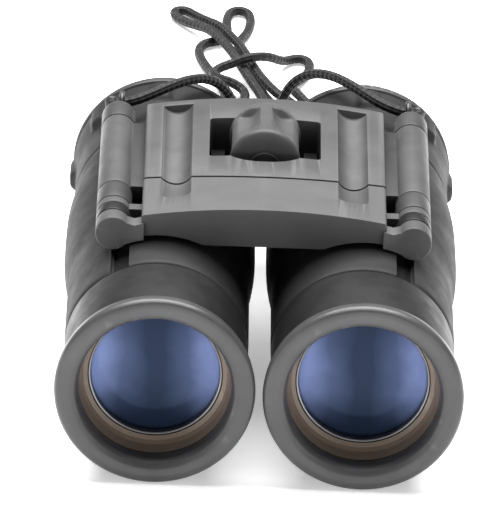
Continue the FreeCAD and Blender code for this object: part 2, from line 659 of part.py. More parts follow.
def focusing():
    knob = turned("knob_blank", [
        ("spindle_rad", "knob_front"), ("2.6", "knob_front"), ("knob_rad - 1.6", "knob_front + 0.5"),
        ("knob_rad - 0.4", "knob_front + 1.4"), ("knob_rad", "knob_front + 2.6"),
        ("knob_rad", "knob_rear - 0.8"), ("knob_rad - 0.8", "knob_rear"), ("spindle_rad", "knob_rear"),
    ], "0", "knob_high")
    flutes = []
    for step in range(6):
        angle = math.radians(30 + 60 * step)
        flutes.append(cylinder("flute_%d" % step, "flute_rad", "knob_front + 3.4", "knob_rear + 1",
                               "(knob_rad + 0.8) * %.9f" % math.sin(angle),
                               "knob_high + (knob_rad + 0.8) * %.9f" % math.cos(angle)))
    keep(cut("knob", knob, *flutes), "focus_knob")
    keep(cylinder("spindle", "spindle_rad", "spindle_front", "spindle_rear", "0", "knob_high"),
         "focus_spindle")
    keep(turned("clip", [
        ("spindle_rad", "window_front + 0.4"), ("2.9", "window_front + 0.4"),
        ("2.9", "window_front + 1"), ("spindle_rad", "window_front + 1"),
    ], "0", "knob_high"), "spindle_clip")

    plate = cut("front_plate", plate_blank("front", "front_y", "parting_y + 4"),
                parting("front_parting", "parting_gap / 2"))
    parts, bores = [plate], []
    for side, sign in SIDES.items():
        parts.append(knuckle("ear_a_" + side, sign, "ear_a_start", "ear_a_end"))
        parts.append(knuckle("ear_b_" + side, sign, "front_y", "ear_b_end"))
        parts.append(web("ear_a_web_" + side, sign, "ear_a_start", "ear_a_end"))
        parts.append(web("ear_b_web_" + side, sign, "front_y", "ear_b_end - 0.6"))
        bores.append(pin_bore("ear_bore_" + side, sign, "pin_front - 0.1", "ear_a_end + 1"))
    nut_room = block("nut_room", "-nut_half", "nut_half", "nut_front", "nut_rear", "belly_high - 1",
                     "nut_top + 0.1")
    tip_room = cylinder("tip_room", "spindle_rad + 0.5", "spindle_front - 3.2", "50", "0", "knob_high")
    seat = block("front_seat", "-lid_half", "lid_half", "lid_front", "lid_rear", "belly_high - 1",
                 "belly_high + cover_thick")
    carrier = cut("carrier", fuse("carrier_solid", *parts), nut_room, tip_room, seat,
                  *bores, *channels("front", "channel_front", "parting_y + 8"))
    keep(carrier, "focus_carrier")
    nut = block("nut_blank", "-nut_half + 0.1", "nut_half - 0.1", "nut_front + 0.1", "nut_rear - 0.1",
                "belly_high + cover_thick + 0.1", "nut_top")
    thread = cylinder("nut_thread", "spindle_rad + running", "nut_front - 1", "nut_rear + 1", "0",
                      "knob_high")
    keep(cut("nut", nut, thread), "focus_nut")
    lid = block("lid_blank", "-lid_half + 0.1", "lid_half - 0.1", "lid_front + 0.1", "lid_rear - 0.1",
                "belly_high", "belly_high + cover_thick")
    lid_holes, lid_screws = [], []
    for number, x in enumerate(("-lid_screw_x", "lid_screw_x")):
        lid_holes.append(upright("lid_hole_%d" % number, "screw_hole", x, "lid_screw_y",
                                 "belly_high - 1", "belly_high + 3"))
        stem = upright("lid_stem_%d" % number, "screw_stem", x, "lid_screw_y", "belly_high",
                       "belly_high + 3.4")
        head = upright("lid_head_%d" % number, "screw_head", x, "lid_screw_y",
                       "belly_high - head_high", "belly_high")
        lid_screws.append(fuse("lid_screw_%d" % number, head, stem))
    keep(cut("lid", lid, *lid_holes), "carrier_cover")
    keep(fuse("lid_screws", *lid_screws), "carrier_screws")


# ---------------------------------------------------------------- strap cord

# Centre lines of the two visible lengths of the strap, from each strap eye to the spare coil.
LEFT_STRAND = [
    (-29.5, 35.1, 37.8), (-27.4, 35.3, 38.0), (-25.0, 35.5, 38.5), (-21.8, 37.3, 39.3),
    (-18.0, 41.1, 39.7), (-14.4, 45.7, 39.2), (-11.2, 50.1, 37.6), (-8.2, 53.9, 34.6),
    (-5.8, 57.1, 29.6), (-4.2, 59.7, 22.0), (-3.4, 61.9, 13.5), (-3.8, 65.3, 5.6),
    (-5.0, 71.3, 1.7), (-6.6, 79.9, 1.2), (-8.9, 90.9, 1.2), (-9.9, 101.9, 1.2), (-9.5, 111.9, 1.2),
    (-8.0, 120.9, 1.2), (-7.0, 128.9, 1.2), (-8.4, 135.9, 1.2), (-10.8, 142.5, 1.2),
    (-12.5, 148.3, 1.2), (-13.1, 153.3, 1.2), (-11.6, 157.1, 1.2), (-8.8, 158.3, 1.2),
    (-7.1, 160.5, 1.2), (-7.0, 164.5, 1.2), (-7.3, 168.9, 1.2), (-7.0, 172.5, 1.2),
    (-6.2, 175.1, 1.2), (-4.5, 175.9, 1.2), (-2.9, 174.9, 1.2), (-2.2, 172.3, 1.2),
    (-2.1, 168.5, 1.2), (-2.8, 163.3, 1.2), (-4.5, 158.5, 1.2), (-4.7, 153.1, 1.2),
    (-3.6, 147.1, 1.2), (-1.9, 141.3, 1.2), (-0.6, 135.3, 1.2), (0.9, 129.3, 1.2),
    (3.2, 123.3, 1.2), (5.0, 117.5, 1.2), (6.2, 111.9, 1.2), (8.6, 108.3, 1.2), (12.0, 107.7, 1.2),
    (14.6, 110.3, 1.2), (14.4, 114.5, 1.2), (11.6, 118.1, 1.3), (7.4, 121.5, 2.4),
    (3.0, 126.3, 3.4), (0.3, 133.1, 3.5), (-1.8, 140.9, 3.4), (-3.6, 148.5, 3.5),
    (-6.1, 155.5, 3.4), (-8.8, 162.2, 3.2), (-11.9, 168.1, 1.9), (-14.2, 172.5, 1.2),
    (-15.8, 174.8, 1.2), (-17.7, 174.8, 1.2), (-18.6, 173.0, 1.2), (-17.2, 169.7, 1.2),
    (-14.2, 165.3, 1.8), (-11.0, 160.1, 3.2), (-8.4, 154.1, 3.5), (-5.9, 147.3, 3.4),
    (-4.1, 139.9, 3.5), (-2.1, 132.3, 3.4), (-0.1, 125.7, 3.4), (1.4, 119.5, 2.6),
    (2.2, 114.3, 1.2), (1.4, 109.5, 1.2), (-1.0, 106.7, 1.2), (-4.0, 107.3, 1.2),
    (-5.6, 111.1, 1.2), (-5.4, 116.9, 1.2), (-3.9, 122.9, 1.2), (-2.9, 128.5, 1.2),
    (-3.6, 131.1, 1.8), (-5.9, 132.0, 2.9), (-8.3, 131.9, 3.6), (-9.9, 133.8, 3.8),
    (-8.9, 136.2, 4.1), (-6.2, 137.3, 4.8), (-3.4, 137.9, 5.9), (-0.6, 139.1, 6.0),
    (2.0, 141.3, 5.0), (4.1, 145.1, 2.7), (5.6, 148.7, 1.3), (7.4, 150.3, 1.2), (9.4, 149.9, 1.2),
    (10.4, 147.5, 1.2), (10.3, 144.1, 1.2), (9.2, 140.1, 1.2), (7.2, 134.9, 1.9), (6.2, 129.7, 3.4),
    (6.9, 124.5, 4.7), (8.6, 119.7, 5.0), (11.0, 114.9, 4.4), (13.4, 110.3, 3.9),
    (15.6, 106.3, 2.0), (18.6, 103.3, 1.3), (22.2, 102.0, 1.2),
]
RIGHT_STRAND = [
    (22.0, 77.8, 1.2), (17.2, 77.1, 1.2), (12.0, 75.9, 1.2), (7.6, 73.8, 1.2), (4.2, 70.5, 1.8),
    (2.2, 66.7, 4.6), (1.4, 63.5, 10.6), (1.6, 61.5, 18.6), (2.6, 60.3, 26.6), (4.8, 59.1, 33.0),
    (8.4, 56.5, 36.8), (12.6, 51.1, 39.0), (17.2, 43.9, 39.7), (21.6, 37.4, 39.3),
    (25.0, 35.5, 38.5), (27.4, 35.3, 38.0), (29.5, 35.1, 37.8),
]
COIL_MIDDLE = (22.0, 89.9)     # x, y of the put-away coil
COIL_MEAN = 11.0               # mean radius of its four turns
COIL_HALF = 2.1                # half of its square section, two cords by two
COIL_HIGH = 2.7                # its middle above the table
TIE_WALL = 0.5                 # band that ties the coil
TIE_HALF = 2.0
TIE_REACH = 4.0                # half the height and width of the slice the band is cut with
KNOT_RAD = 1.45                # melted knot outside each strap eye
KNOT_X, KNOT_Y, KNOT_Z = 29.75, 35.4, 37.85


def strand(points, radius):
    """A round cord of straight runs joined by tangent arcs, and the smallest radius it bends to."""
    corners = [Vector(*p) for p in points]
    edges, start, tightest = [], corners[0], math.inf
    for before, corner, after in zip(corners, corners[1:], corners[2:]):
        into, out = corner - before, after - corner
        half_turn = into.getAngle(out) / 2
        trim = 0.45 * min(into.Length, out.Length)
        bend = trim / math.tan(half_turn)
        tightest = min(tightest, bend)
        first = corner - Vector(into).normalize() * trim
        last = corner + Vector(out).normalize() * trim
        inward = (Vector(out).normalize() - Vector(into).normalize()).normalize()
        middle = corner + inward * (bend / math.cos(half_turn) - bend)
        edges += [Part.LineSegment(start, first).toShape(), Part.Arc(first, middle, last).toShape()]
        start = last
    edges.append(Part.LineSegment(start, corners[-1]).toShape())
    path = Part.Wire(edges)
    along = corners[1] - corners[0]
    profile = Part.Wire([Part.Circle(corners[0], along, radius).toShape()])
    tube = path.makePipeShell([profile], True, False)
    print("cord %.1f mm long, tightest bend %.2f mm, volume %.1f against %.1f" % (
        path.Length, tightest, tube.Volume, math.pi * radius ** 2 * path.Length))
    return tube


def ring(mean, half, high):
    """A square-section ring about the coil's middle."""
    x, y = COIL_MIDDLE
    outer = Part.makeCylinder(mean + half, 2 * half, Vector(x, y, high - half))
    inner = Part.makeCylinder(mean - half, 2 * half, Vector(x, y, high - half))
    return outer.cut(inner)


def strap():
    """The two strands, the spare length put away as a coil, and the band that ties the coil."""
    coil = ring(COIL_MEAN, COIL_HALF, COIL_HIGH)
    coil = coil.makeFillet(0.9, [edge for edge in coil.Edges if edge.Length > 40])
    band = ring(COIL_MEAN, COIL_HALF + TIE_WALL, COIL_HIGH)
    x, y = COIL_MIDDLE
    slab = Part.makeBox(2 * TIE_REACH, 2 * TIE_HALF, 2 * TIE_REACH,
                        Vector(x + COIL_MEAN - TIE_REACH, y - TIE_HALF, COIL_HIGH - TIE_REACH))
    tie = band.common(slab).cut(coil)
    knots = {side: Part.makeSphere(KNOT_RAD, Vector(sign * KNOT_X, KNOT_Y, KNOT_Z))
             for side, sign in SIDES.items()}
    shapes = {"strap_coil": coil, "strap_tie": tie}
    for side, points in (("left", LEFT_STRAND), ("right", RIGHT_STRAND)):
        tube = strand(points, size("cord_rad")).fuse(knots[side]).cut(coil)
        shapes["strap_cord_" + side] = tube
    for node, shape in shapes.items():
        thing = doc.addObject("Part::Feature", node)
        thing.Shape = shape.Solids[0] if len(shape.Solids) == 1 else shape
        thing.Label = node
        NODES.append(thing)


def check_and_write():
    doc.recompute()
    faults = [o.Name for o in doc.Objects if {"Invalid", "Error"} & set(o.State)]
    if faults:
        raise SystemExit("failed objects: %s" % faults)
    os.makedirs("parts", exist_ok=True)
    for thing in NODES:
        shape = thing.Shape
        if shape.isNull() or not shape.isValid():
            raise SystemExit("bad shape: " + thing.Label)
        box = shape.optimalBoundingBox()
        print("%-28s %2d solid %9.2f mm3  x %7.2f %7.2f  y %7.2f %7.2f  z %6.2f %6.2f" % (
            thing.Label, len(shape.Solids), shape.Volume, box.XMin, box.XMax, box.YMin, box.YMax,
            box.ZMin, box.ZMax))
        shape.exportStep("parts/%s.step" % thing.Label)
    print(len(NODES), "nodes")


for side, sign in SIDES.items():
    objective(side, sign)
    barrel(side, sign)
    eyepiece(side, sign)
bridge()
focusing()
strap()
check_and_write()
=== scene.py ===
import math

import bmesh
import bpy
from mathutils import Matrix, Vector


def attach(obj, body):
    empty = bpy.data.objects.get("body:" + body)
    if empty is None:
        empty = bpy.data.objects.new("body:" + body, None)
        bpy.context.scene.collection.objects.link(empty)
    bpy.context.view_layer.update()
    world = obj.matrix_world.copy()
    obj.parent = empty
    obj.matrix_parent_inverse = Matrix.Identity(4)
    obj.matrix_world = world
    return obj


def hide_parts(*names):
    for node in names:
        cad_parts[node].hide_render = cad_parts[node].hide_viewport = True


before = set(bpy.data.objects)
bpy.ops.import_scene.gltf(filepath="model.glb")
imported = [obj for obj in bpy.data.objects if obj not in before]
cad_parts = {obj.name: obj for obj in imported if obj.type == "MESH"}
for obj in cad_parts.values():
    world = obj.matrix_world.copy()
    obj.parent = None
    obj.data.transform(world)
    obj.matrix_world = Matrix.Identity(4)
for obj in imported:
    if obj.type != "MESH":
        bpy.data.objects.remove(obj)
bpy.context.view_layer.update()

# All shapes are written in millimetres, with y counted from the front of the
# objectives, and turned into metres in the shared frame by at().  The cord's
# route is the exception: its y is counted from the middle of the object.
MM = 0.001
MIDDLE_Y = 56.1
SIDES = {"left": -1, "right": 1}
AXIS_X, AXIS_Z = 19.25, 18.6
HINGE_X, HINGE_Z = 28.15, 37.15
LEAN = math.atan2(HINGE_X - AXIS_X, HINGE_Z - AXIS_Z)
REACH = math.hypot(HINGE_X - AXIS_X, HINGE_Z - AXIS_Z)
KNUCKLE, KNUCKLE_ROOM, PIN_HOLE = 3.3, 3.65, 1.25
PAD_HALF, SLOT_HALF, NECK_HALF = 2.6, 1.9, 1.5
KNOB_Z = 40.4


def at(x, y, z):
    """A point of the shapes, in metres in the shared frame."""
    return Vector((x * MM, (y - MIDDLE_Y) * MM, z * MM))


# ---------------------------------------------------------------- camera

AZIMUTH, ELEVATION, ROLL = math.radians(-0.626), math.radians(23.863), math.radians(2.356)
CAMERA_PLACE = (-0.01680, -1.34413, 0.61707)
FOCAL_LENGTH = 545.5


def make_camera():
    """The camera, set by its place, its two view angles and its roll."""
    back = Vector((math.sin(AZIMUTH) * math.cos(ELEVATION), -math.cos(AZIMUTH) * math.cos(ELEVATION),
                   math.sin(ELEVATION)))
    right = Vector((0, 0, 1)).cross(back).normalized()
    up = back.cross(right)
    tilted_right = right * math.cos(ROLL) + up * math.sin(ROLL)
    tilted_up = up * math.cos(ROLL) - right * math.sin(ROLL)
    turn = Matrix((tilted_right, tilted_up, back)).transposed().to_4x4()
    data = bpy.data.cameras.new("camera")
    data.sensor_width = 36
    data.lens = FOCAL_LENGTH
    data.clip_start = 0.1
    data.clip_end = 20
    camera = bpy.data.objects.new("camera", data)
    bpy.context.collection.objects.link(camera)
    camera.matrix_world = Matrix.Translation(CAMERA_PLACE) @ turn
    bpy.context.scene.camera = camera


make_camera()

# ---------------------------------------------------------------- materials


def material(name):
    """A new node material, its nodes, its links and its shader."""
    made = bpy.data.materials.new(name)
    made.use_nodes = True
    nodes = made.node_tree.nodes
    return made, nodes, made.node_tree.links, nodes["Principled BSDF"]


def noise(nodes, links, coords, scale, detail=4.0, rough=0.55):
    """Cloudy noise from 0 to 1 on the given coordinates."""
    node = nodes.new("ShaderNodeTexNoise")
    node.inputs["Scale"].default_value = scale
    node.inputs["Detail"].default_value = detail
    node.inputs["Roughness"].default_value = rough
    links.new(coords, node.inputs["Vector"])
    return node.outputs["Fac"]


def ramp(nodes, links, fac, stops):
    """A colour ramp through the stops, each (place, colour)."""
    node = nodes.new("ShaderNodeValToRGB")
    while len(node.color_ramp.elements) < len(stops):
        node.color_ramp.elements.new(0.5)
    for element, (place, colour) in zip(node.color_ramp.elements, stops):
        element.position = place
        element.color = (*colour, 1) if len(colour) == 3 else colour
    links.new(fac, node.inputs["Fac"])
    return node.outputs["Color"]


def blend_colours(nodes, links, fac, first, second, mode="MIX"):
    """Blends two colours; each value may be a socket or a constant."""
    node = nodes.new("ShaderNodeMix")
    node.data_type = "RGBA"
    node.blend_type = mode
    for value, index in ((fac, 0), (first, 6), (second, 7)):
        if isinstance(value, bpy.types.NodeSocket):
            links.new(value, node.inputs[index])
        else:
            node.inputs[index].default_value = value
    return node.outputs[2]


def bump(nodes, links, layers):
    """Adds height layers, each (socket, strength, distance in metres), into one normal."""
    normal = None
    for height, strength, distance in layers:
        node = nodes.new("ShaderNodeBump")
        node.inputs["Strength"].default_value = strength
        node.inputs["Distance"].default_value = distance
        links.new(height, node.inputs["Height"])
        if normal is not None:
            links.new(normal, node.inputs["Normal"])
        normal = node.outputs["Normal"]
    return normal


def grey(level):
    """A grey of the given level, with a trace of blue."""
    return (level, level, level * 1.02)


def between(nodes, links, coords, low, high):
    """1 where the distance from the middle plane lies between low and high millimetres."""
    parts = nodes.new("ShaderNodeSeparateXYZ")
    links.new(coords, parts.inputs[0])
    off = nodes.new("ShaderNodeMath")
    off.operation = "ABSOLUTE"
    links.new(parts.outputs[0], off.inputs[0])
    middle = nodes.new("ShaderNodeMath")
    middle.operation = "COMPARE"
    links.new(off.outputs[0], middle.inputs[0])
    middle.inputs[1].default_value = (low + high) / 2 * MM
    middle.inputs[2].default_value = (high - low) / 2 * MM
    return middle.outputs[0]


def moulded(name, level, roughness, grain=2600, grain_depth=0.3, wear=0.25, specular=0.5, tint=None,
            dark_band=None):
    """Moulded plastic or rubber: cloudy colour, fine grain, dust and paler worn edges.
    The band argument, two distances from the middle plane, darkens the colour between them as painted shade
    in a recess."""
    made, nodes, links, shader = material(name)
    coords = nodes.new("ShaderNodeTexCoord").outputs["Object"]
    base = tint or grey(level)
    dark = tuple(c * 0.82 for c in base)
    pale = tuple(min(1, c * 1.18) for c in base)
    cloud = ramp(nodes, links, noise(nodes, links, coords, 90), [(0.3, dark), (0.7, pale)])
    speck = ramp(nodes, links, noise(nodes, links, coords, 1500, 2), [
        (0.66, (0, 0, 0)), (0.78, (0.6, 0.6, 0.6))])
    dusty = blend_colours(nodes, links, speck, cloud, tuple(min(1, c * 1.35) for c in base) + (1,))
    edge = nodes.new("ShaderNodeNewGeometry").outputs["Pointiness"]
    rubbed = ramp(nodes, links, edge, [(0.52, (0, 0, 0)), (0.62, (wear,) * 3)])
    worn = tuple(min(1, c * 2.2 + 0.03) for c in base) + (1,)
    finish = blend_colours(nodes, links, rubbed, dusty, worn)
    if dark_band:
        # painted shade: between the two distances from the middle plane the colour is darkened to three
        # tenths
        painted_recess_shade = between(nodes, links, coords, *dark_band)
        finish = blend_colours(nodes, links, painted_recess_shade, finish, tuple(c * 0.3 for c in base) + (1,))
    links.new(finish, shader.inputs["Base Color"])
    gloss = ramp(nodes, links, noise(nodes, links, coords, 240, 5), [
        (0.3, (roughness - 0.07,) * 3), (0.7, (roughness + 0.08,) * 3)])
    links.new(gloss, shader.inputs["Roughness"])
    shader.inputs["Specular IOR Level"].default_value = specular
    links.new(bump(nodes, links, [
        (noise(nodes, links, coords, grain, 2), grain_depth, 0.00006),
        (noise(nodes, links, coords, 60, 2), 0.12, 0.0004),
    ]), shader.inputs["Normal"])
    return made


def metal(name, colour, roughness, lines=0.0):
    """Bare or plated metal: mottled colour, uneven roughness and a fine bump, stronger with lines."""
    made, nodes, links, shader = material(name)
    coords = nodes.new("ShaderNodeTexCoord").outputs["Object"]
    cloud = ramp(nodes, links, noise(nodes, links, coords, 160), [
        (0.3, tuple(c * 0.8 for c in colour)), (0.7, colour)])
    links.new(cloud, shader.inputs["Base Color"])
    shader.inputs["Metallic"].default_value = 1
    links.new(ramp(nodes, links, noise(nodes, links, coords, 500), [
        (0.3, (roughness - 0.06,) * 3), (0.7, (roughness + 0.08,) * 3)]), shader.inputs["Roughness"])
    links.new(bump(nodes, links, [(noise(nodes, links, coords, 1800), 0.2 + lines, 0.00003)]),
              shader.inputs["Normal"])
    return made


def coated_glass(name, deep, glow, tint):
    """Lens glass: dark through the middle, with a painted reflection of the lamps as a paler flare on both
    flanks, fading towards the bottom and the top.
    """
    made, nodes, links, shader = material(name)
    coords = nodes.new("ShaderNodeTexCoord").outputs["Object"]
    parts = nodes.new("ShaderNodeSeparateXYZ")
    links.new(coords, parts.inputs[0])

    def sum_of(kind, first, second):
        node = nodes.new("ShaderNodeMath")
        node.operation = kind
        for value, socket in ((first, node.inputs[0]), (second, node.inputs[1])):
            if isinstance(value, float):
                socket.default_value = value
            else:
                links.new(value, socket)
        return node.outputs[0]

    off_axis = sum_of("SUBTRACT", sum_of("ABSOLUTE", parts.outputs[0], 0.0), AXIS_X * MM)
    sideways = sum_of("MULTIPLY", sum_of("ABSOLUTE", off_axis, 0.0), 80.0)
    upward = sum_of("MULTIPLY", sum_of("SUBTRACT", parts.outputs[2], (AXIS_Z - 12.5) * MM), 40.0)
    smear = noise(nodes, links, coords, 110, 4)
    wavy = sum_of("ADD", sideways, sum_of("MULTIPLY", sum_of("SUBTRACT", smear, 0.5), 0.35))
    # painted reflection: the flare grows paler the farther a point sits sideways from the lens axis
    flare = ramp(nodes, links, wavy, [(0.12, (0, 0, 0)), (0.5, (0.22,) * 3), (0.9, (1, 1, 1))])
    # The painted flare is held to a middle band of the lens and fades towards its bottom and its top.
    height = ramp(nodes, links, upward, [(0.1, (0.1,) * 3), (0.38, (1, 1, 1)), (0.72, (1, 1, 1)),
                                         (1.0, (0.35,) * 3)])
    lit = blend_colours(nodes, links, 1.0, flare, height, "MULTIPLY")
    links.new(blend_colours(nodes, links, lit, (*deep, 1), (*glow, 1)), shader.inputs["Base Color"])
    links.new(ramp(nodes, links, smear, [(0.35, (0.05,) * 3), (0.8, (0.14,) * 3)]),
              shader.inputs["Roughness"])
    shader.inputs["Specular Tint"].default_value = (*tint, 1)
    shader.inputs["Specular IOR Level"].default_value = 0.2
    links.new(bump(nodes, links, [(noise(nodes, links, coords, 40, 1), 0.05, 0.0002)]),
              shader.inputs["Normal"])
    return made


def clear_glass(name):
    """Uncoated glass for the prisms and the hidden lenses."""
    made, nodes, links, shader = material(name)
    coords = nodes.new("ShaderNodeTexCoord").outputs["Object"]
    links.new(ramp(nodes, links, noise(nodes, links, coords, 200), [
        (0.3, (0.78, 0.83, 0.83)), (0.7, (0.85, 0.9, 0.9))]), shader.inputs["Base Color"])
    links.new(ramp(nodes, links, noise(nodes, links, coords, 300), [
        (0.3, (0.02,) * 3), (0.8, (0.07,) * 3)]), shader.inputs["Roughness"])
    shader.inputs["Transmission Weight"].default_value = 0.9
    return made


def braid(name, level):
    """Round braided nylon: two crossed sets of strands along the cord, with painted shade down between the
    strands and paler flecks.
    """
    made, nodes, links, shader = material(name)
    uv = nodes.new("ShaderNodeTexCoord").outputs["UV"]
    parts = nodes.new("ShaderNodeSeparateXYZ")
    links.new(uv, parts.inputs[0])

    def scaled(socket, times):
        node = nodes.new("ShaderNodeMath")
        node.operation = "MULTIPLY"
        links.new(socket, node.inputs[0])
        node.inputs[1].default_value = times
        return node.outputs[0]

    def combined(kind, first, second):
        node = nodes.new("ShaderNodeMath")
        node.operation = kind
        links.new(first, node.inputs[0])
        if isinstance(second, float):
            node.inputs[1].default_value = second
        else:
            links.new(second, node.inputs[1])
        return node.outputs[0]

    along, around = scaled(parts.outputs[0], 2 * math.pi), scaled(parts.outputs[1], 2 * math.pi * 4)
    left = combined("SINE", combined("ADD", along, around), 0.0)
    right = combined("SINE", combined("SUBTRACT", along, around), 0.0)
    weave = combined("MULTIPLY", left, right)
    height = combined("ADD", scaled(weave, 0.5), 0.5)
    coords = nodes.new("ShaderNodeTexCoord").outputs["Object"]
    fibre = noise(nodes, links, coords, 3500, 3)
    fleck = ramp(nodes, links, noise(nodes, links, coords, 900, 1), [(0.58, (0, 0, 0)), (0.66, (1, 1, 1))])
    # painted shade and highlight: darker where the braid's relief is low between strands, paler on the
    # strand tops
    base = ramp(nodes, links, height, [(0.15, grey(level * 0.35)), (0.85, grey(level * 1.5))])
    mottled = blend_colours(nodes, links, fibre, base, (*grey(level), 1))
    links.new(blend_colours(nodes, links, scaled(fleck, 0.35), mottled, (*grey(level * 12), 1)),
              shader.inputs["Base Color"])
    shader.inputs["Roughness"].default_value = 0.62
    shader.inputs["Sheen Weight"].default_value = 0.04
    shader.inputs["Specular IOR Level"].default_value = 0.3
    links.new(bump(nodes, links, [(height, 0.7, 0.0003), (fibre, 0.3, 0.00005)]), shader.inputs["Normal"])
    return made


HOUSING = moulded("housing_plastic", 0.034, 0.48, specular=0.35)
BRIDGE = moulded("bridge_plastic", 0.052, 0.52, grain=3200, grain_depth=0.35, specular=0.3, wear=0.4)
# The rear plate's plastic: the bridge plastic with painted shade darkening the recessed strips beside the
# plate's edges.
REAR_BRIDGE = moulded("rear_bridge_plastic", 0.052, 0.52, grain=3200, grain_depth=0.35, specular=0.3,
                      wear=0.4, dark_band=(22.9, 25.3))
KNOB = moulded("knob_plastic", 0.055, 0.5, specular=0.3)
BEZEL = moulded("bezel_plastic", 0.046, 0.36, grain=2200, grain_depth=0.12, specular=0.4)
COLLAR = moulded("collar_plastic", 0.010, 0.45, specular=0.18)
INNER = moulded("inner_plastic", 0.05, 0.4, tint=(0.16, 0.12, 0.09))
ARMOUR = moulded("armour_rubber", 0.014, 0.6, grain=1500, grain_depth=0.5, wear=0.2, specular=0.18)
EYECUP = moulded("eyecup_rubber", 0.03, 0.66, grain=1400, grain_depth=0.4, wear=0.12)
RING = metal("ring_metal", (0.2, 0.2, 0.205), 0.34)
STEEL = metal("steel", (0.55, 0.55, 0.56), 0.32, 0.3)
BLACKED = metal("blacked_steel", (0.07, 0.07, 0.072), 0.42, 0.3)
BRASS = metal("brass", (0.72, 0.55, 0.28), 0.3)
# Both lenses carry a painted reflection: their third colour is the painted flare on their flanks.
LENS = coated_glass("coated_glass", (0.010, 0.018, 0.036), (0.20, 0.26, 0.50), (0.45, 0.56, 1.0))
EYE_LENS = coated_glass("eye_glass", (0.006, 0.012, 0.012), (0.05, 0.09, 0.08), (0.6, 1.0, 0.85))
PRISM = clear_glass("prism_glass")
CORD = braid("cord_braid", 0.004)
MELTED = moulded("cord_melted", 0.015, 0.45, grain=1200, grain_depth=0.5, wear=0.1)
WEBBING = moulded("tie_webbing", 0.03, 0.8, grain=2400, grain_depth=0.9, wear=0.1)

# ---------------------------------------------------------------- mesh helpers


def finish_mesh(name, mesh, body, look, sharp=32, nodes=()):
    """A finished piece: smooth but for its sharp edges, riding a body and standing for its nodes."""
    mesh.validate()
    mesh.update()
    mesh.shade_smooth()
    mesh.set_sharp_from_angle(angle=math.radians(sharp))
    thing = bpy.data.objects.new(name, mesh)
    bpy.context.collection.objects.link(thing)
    thing.data.materials.clear()
    thing.data.materials.append(look)
    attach(thing, body)
    if nodes:
        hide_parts(*nodes)
    return thing


def soften(outline, radius, steps=4):
    """Rounds each corner of a closed outline."""
    out, count = [], len(outline)
    for i, here in enumerate(outline):
        here = Vector(here)
        before, after = Vector(outline[i - 1]) - here, Vector(outline[(i + 1) % count]) - here
        if before.length < 1e-6 or after.length < 1e-6:
            continue
        if here.x < 0.01 or abs(before.angle(after) - math.pi) < 0.25:
            out.append(here)
            continue
        trim = min(radius, 0.4 * before.length, 0.4 * after.length)
        first, last = here + before.normalized() * trim, here + after.normalized() * trim
        for step in range(steps + 1):
            t = step / steps
            out.append(first * (1 - t) ** 2 + here * 2 * t * (1 - t) + last * t * t)
    return out


def lathe_mesh(name, outline, x, z, segments=144, shape=None):
    """Turns a closed outline of (radius, y) about the Y axis through x, z.  shape(angle, radius, y)
    may change the radius at each point, with the angle counted from straight up towards +X."""
    mesh = bpy.data.meshes.new(name)
    work = bmesh.new()
    rings = []
    for radius, y in outline:
        if radius < 1e-4:
            rings.append([work.verts.new(at(x, y, z))])
            continue
        ring = []
        for k in range(segments):
            angle = 2 * math.pi * k / segments
            r = shape(angle, radius, y) if shape else radius
            ring.append(work.verts.new(at(x + r * math.sin(angle), y, z + r * math.cos(angle))))
        rings.append(ring)
    count = len(rings)
    for i in range(count):
        one, two = rings[i], rings[(i + 1) % count]
        if len(one) == 1 and len(two) == 1:
            continue
        for k in range(segments):
            n = (k + 1) % segments
            if len(one) == 1:
                work.faces.new((one[0], two[n], two[k]))
            elif len(two) == 1:
                work.faces.new((one[k], one[n], two[0]))
            else:
                work.faces.new((one[k], one[n], two[n], two[k]))
    bmesh.ops.recalc_face_normals(work, faces=work.faces)
    work.to_mesh(mesh)
    work.free()
    return mesh


def lathe(name, outline, x, z, body, look, nodes=(), rounding=0.25, segments=144, shape=None,
          sharp=32):
    """A finished turned piece, with its outline's corners rounded if rounding is given."""
    mesh = lathe_mesh(name, soften(outline, rounding) if rounding else outline, x, z, segments, shape)
    return finish_mesh(name, mesh, body, look, sharp, nodes)


def raw(name, mesh):
    """A working shape, to be carved or used as a tool."""
    thing = bpy.data.objects.new(name, mesh)
    bpy.context.collection.objects.link(thing)
    return thing


def prism_mesh(name, outline, low, high, axis="y"):
    """Extrudes a closed outline: (x, z) pairs along y, or (x, y) pairs along z."""
    mesh = bpy.data.meshes.new(name)
    work = bmesh.new()
    ends = []
    for level in (low, high):
        ends.append([work.verts.new(at(a, level, b) if axis == "y" else at(a, b, level))
                     for a, b in outline])
    count = len(outline)
    for i in range(count):
        j = (i + 1) % count
        work.faces.new((ends[0][i], ends[0][j], ends[1][j], ends[1][i]))
    work.faces.new(ends[0])
    work.faces.new(ends[1])
    bmesh.ops.recalc_face_normals(work, faces=work.faces)
    work.to_mesh(mesh)
    work.free()
    return mesh


def radial_bar(name, sign, half, low, high, y0, y1):
    """A bar on the line from a barrel's axis up to its hinge, from low to high off the axis."""
    lean = sign * LEAN
    out = Vector((math.sin(lean), math.cos(lean)))
    across = Vector((math.cos(lean), -math.sin(lean)))
    middle = Vector((sign * AXIS_X, AXIS_Z))
    corners = []
    for a, b in ((-half, low), (half, low), (half, high), (-half, high)):
        spot = middle + across * a + out * b
        corners.append((spot.x, spot.y))
    return raw(name, prism_mesh(name, corners, y0, y1))


def rounded_rectangle(x0, x1, y0, y1, radius, steps=8):
    """Outline of a rectangle with round corners."""
    out = []
    for cx, cy, start in ((x1 - radius, y1 - radius, 0), (x0 + radius, y1 - radius, 90),
                          (x0 + radius, y0 + radius, 180), (x1 - radius, y0 + radius, 270)):
        for step in range(steps + 1):
            angle = math.radians(start + 90 * step / steps)
            out.append((cx + radius * math.cos(angle), cy + radius * math.sin(angle)))
    return out


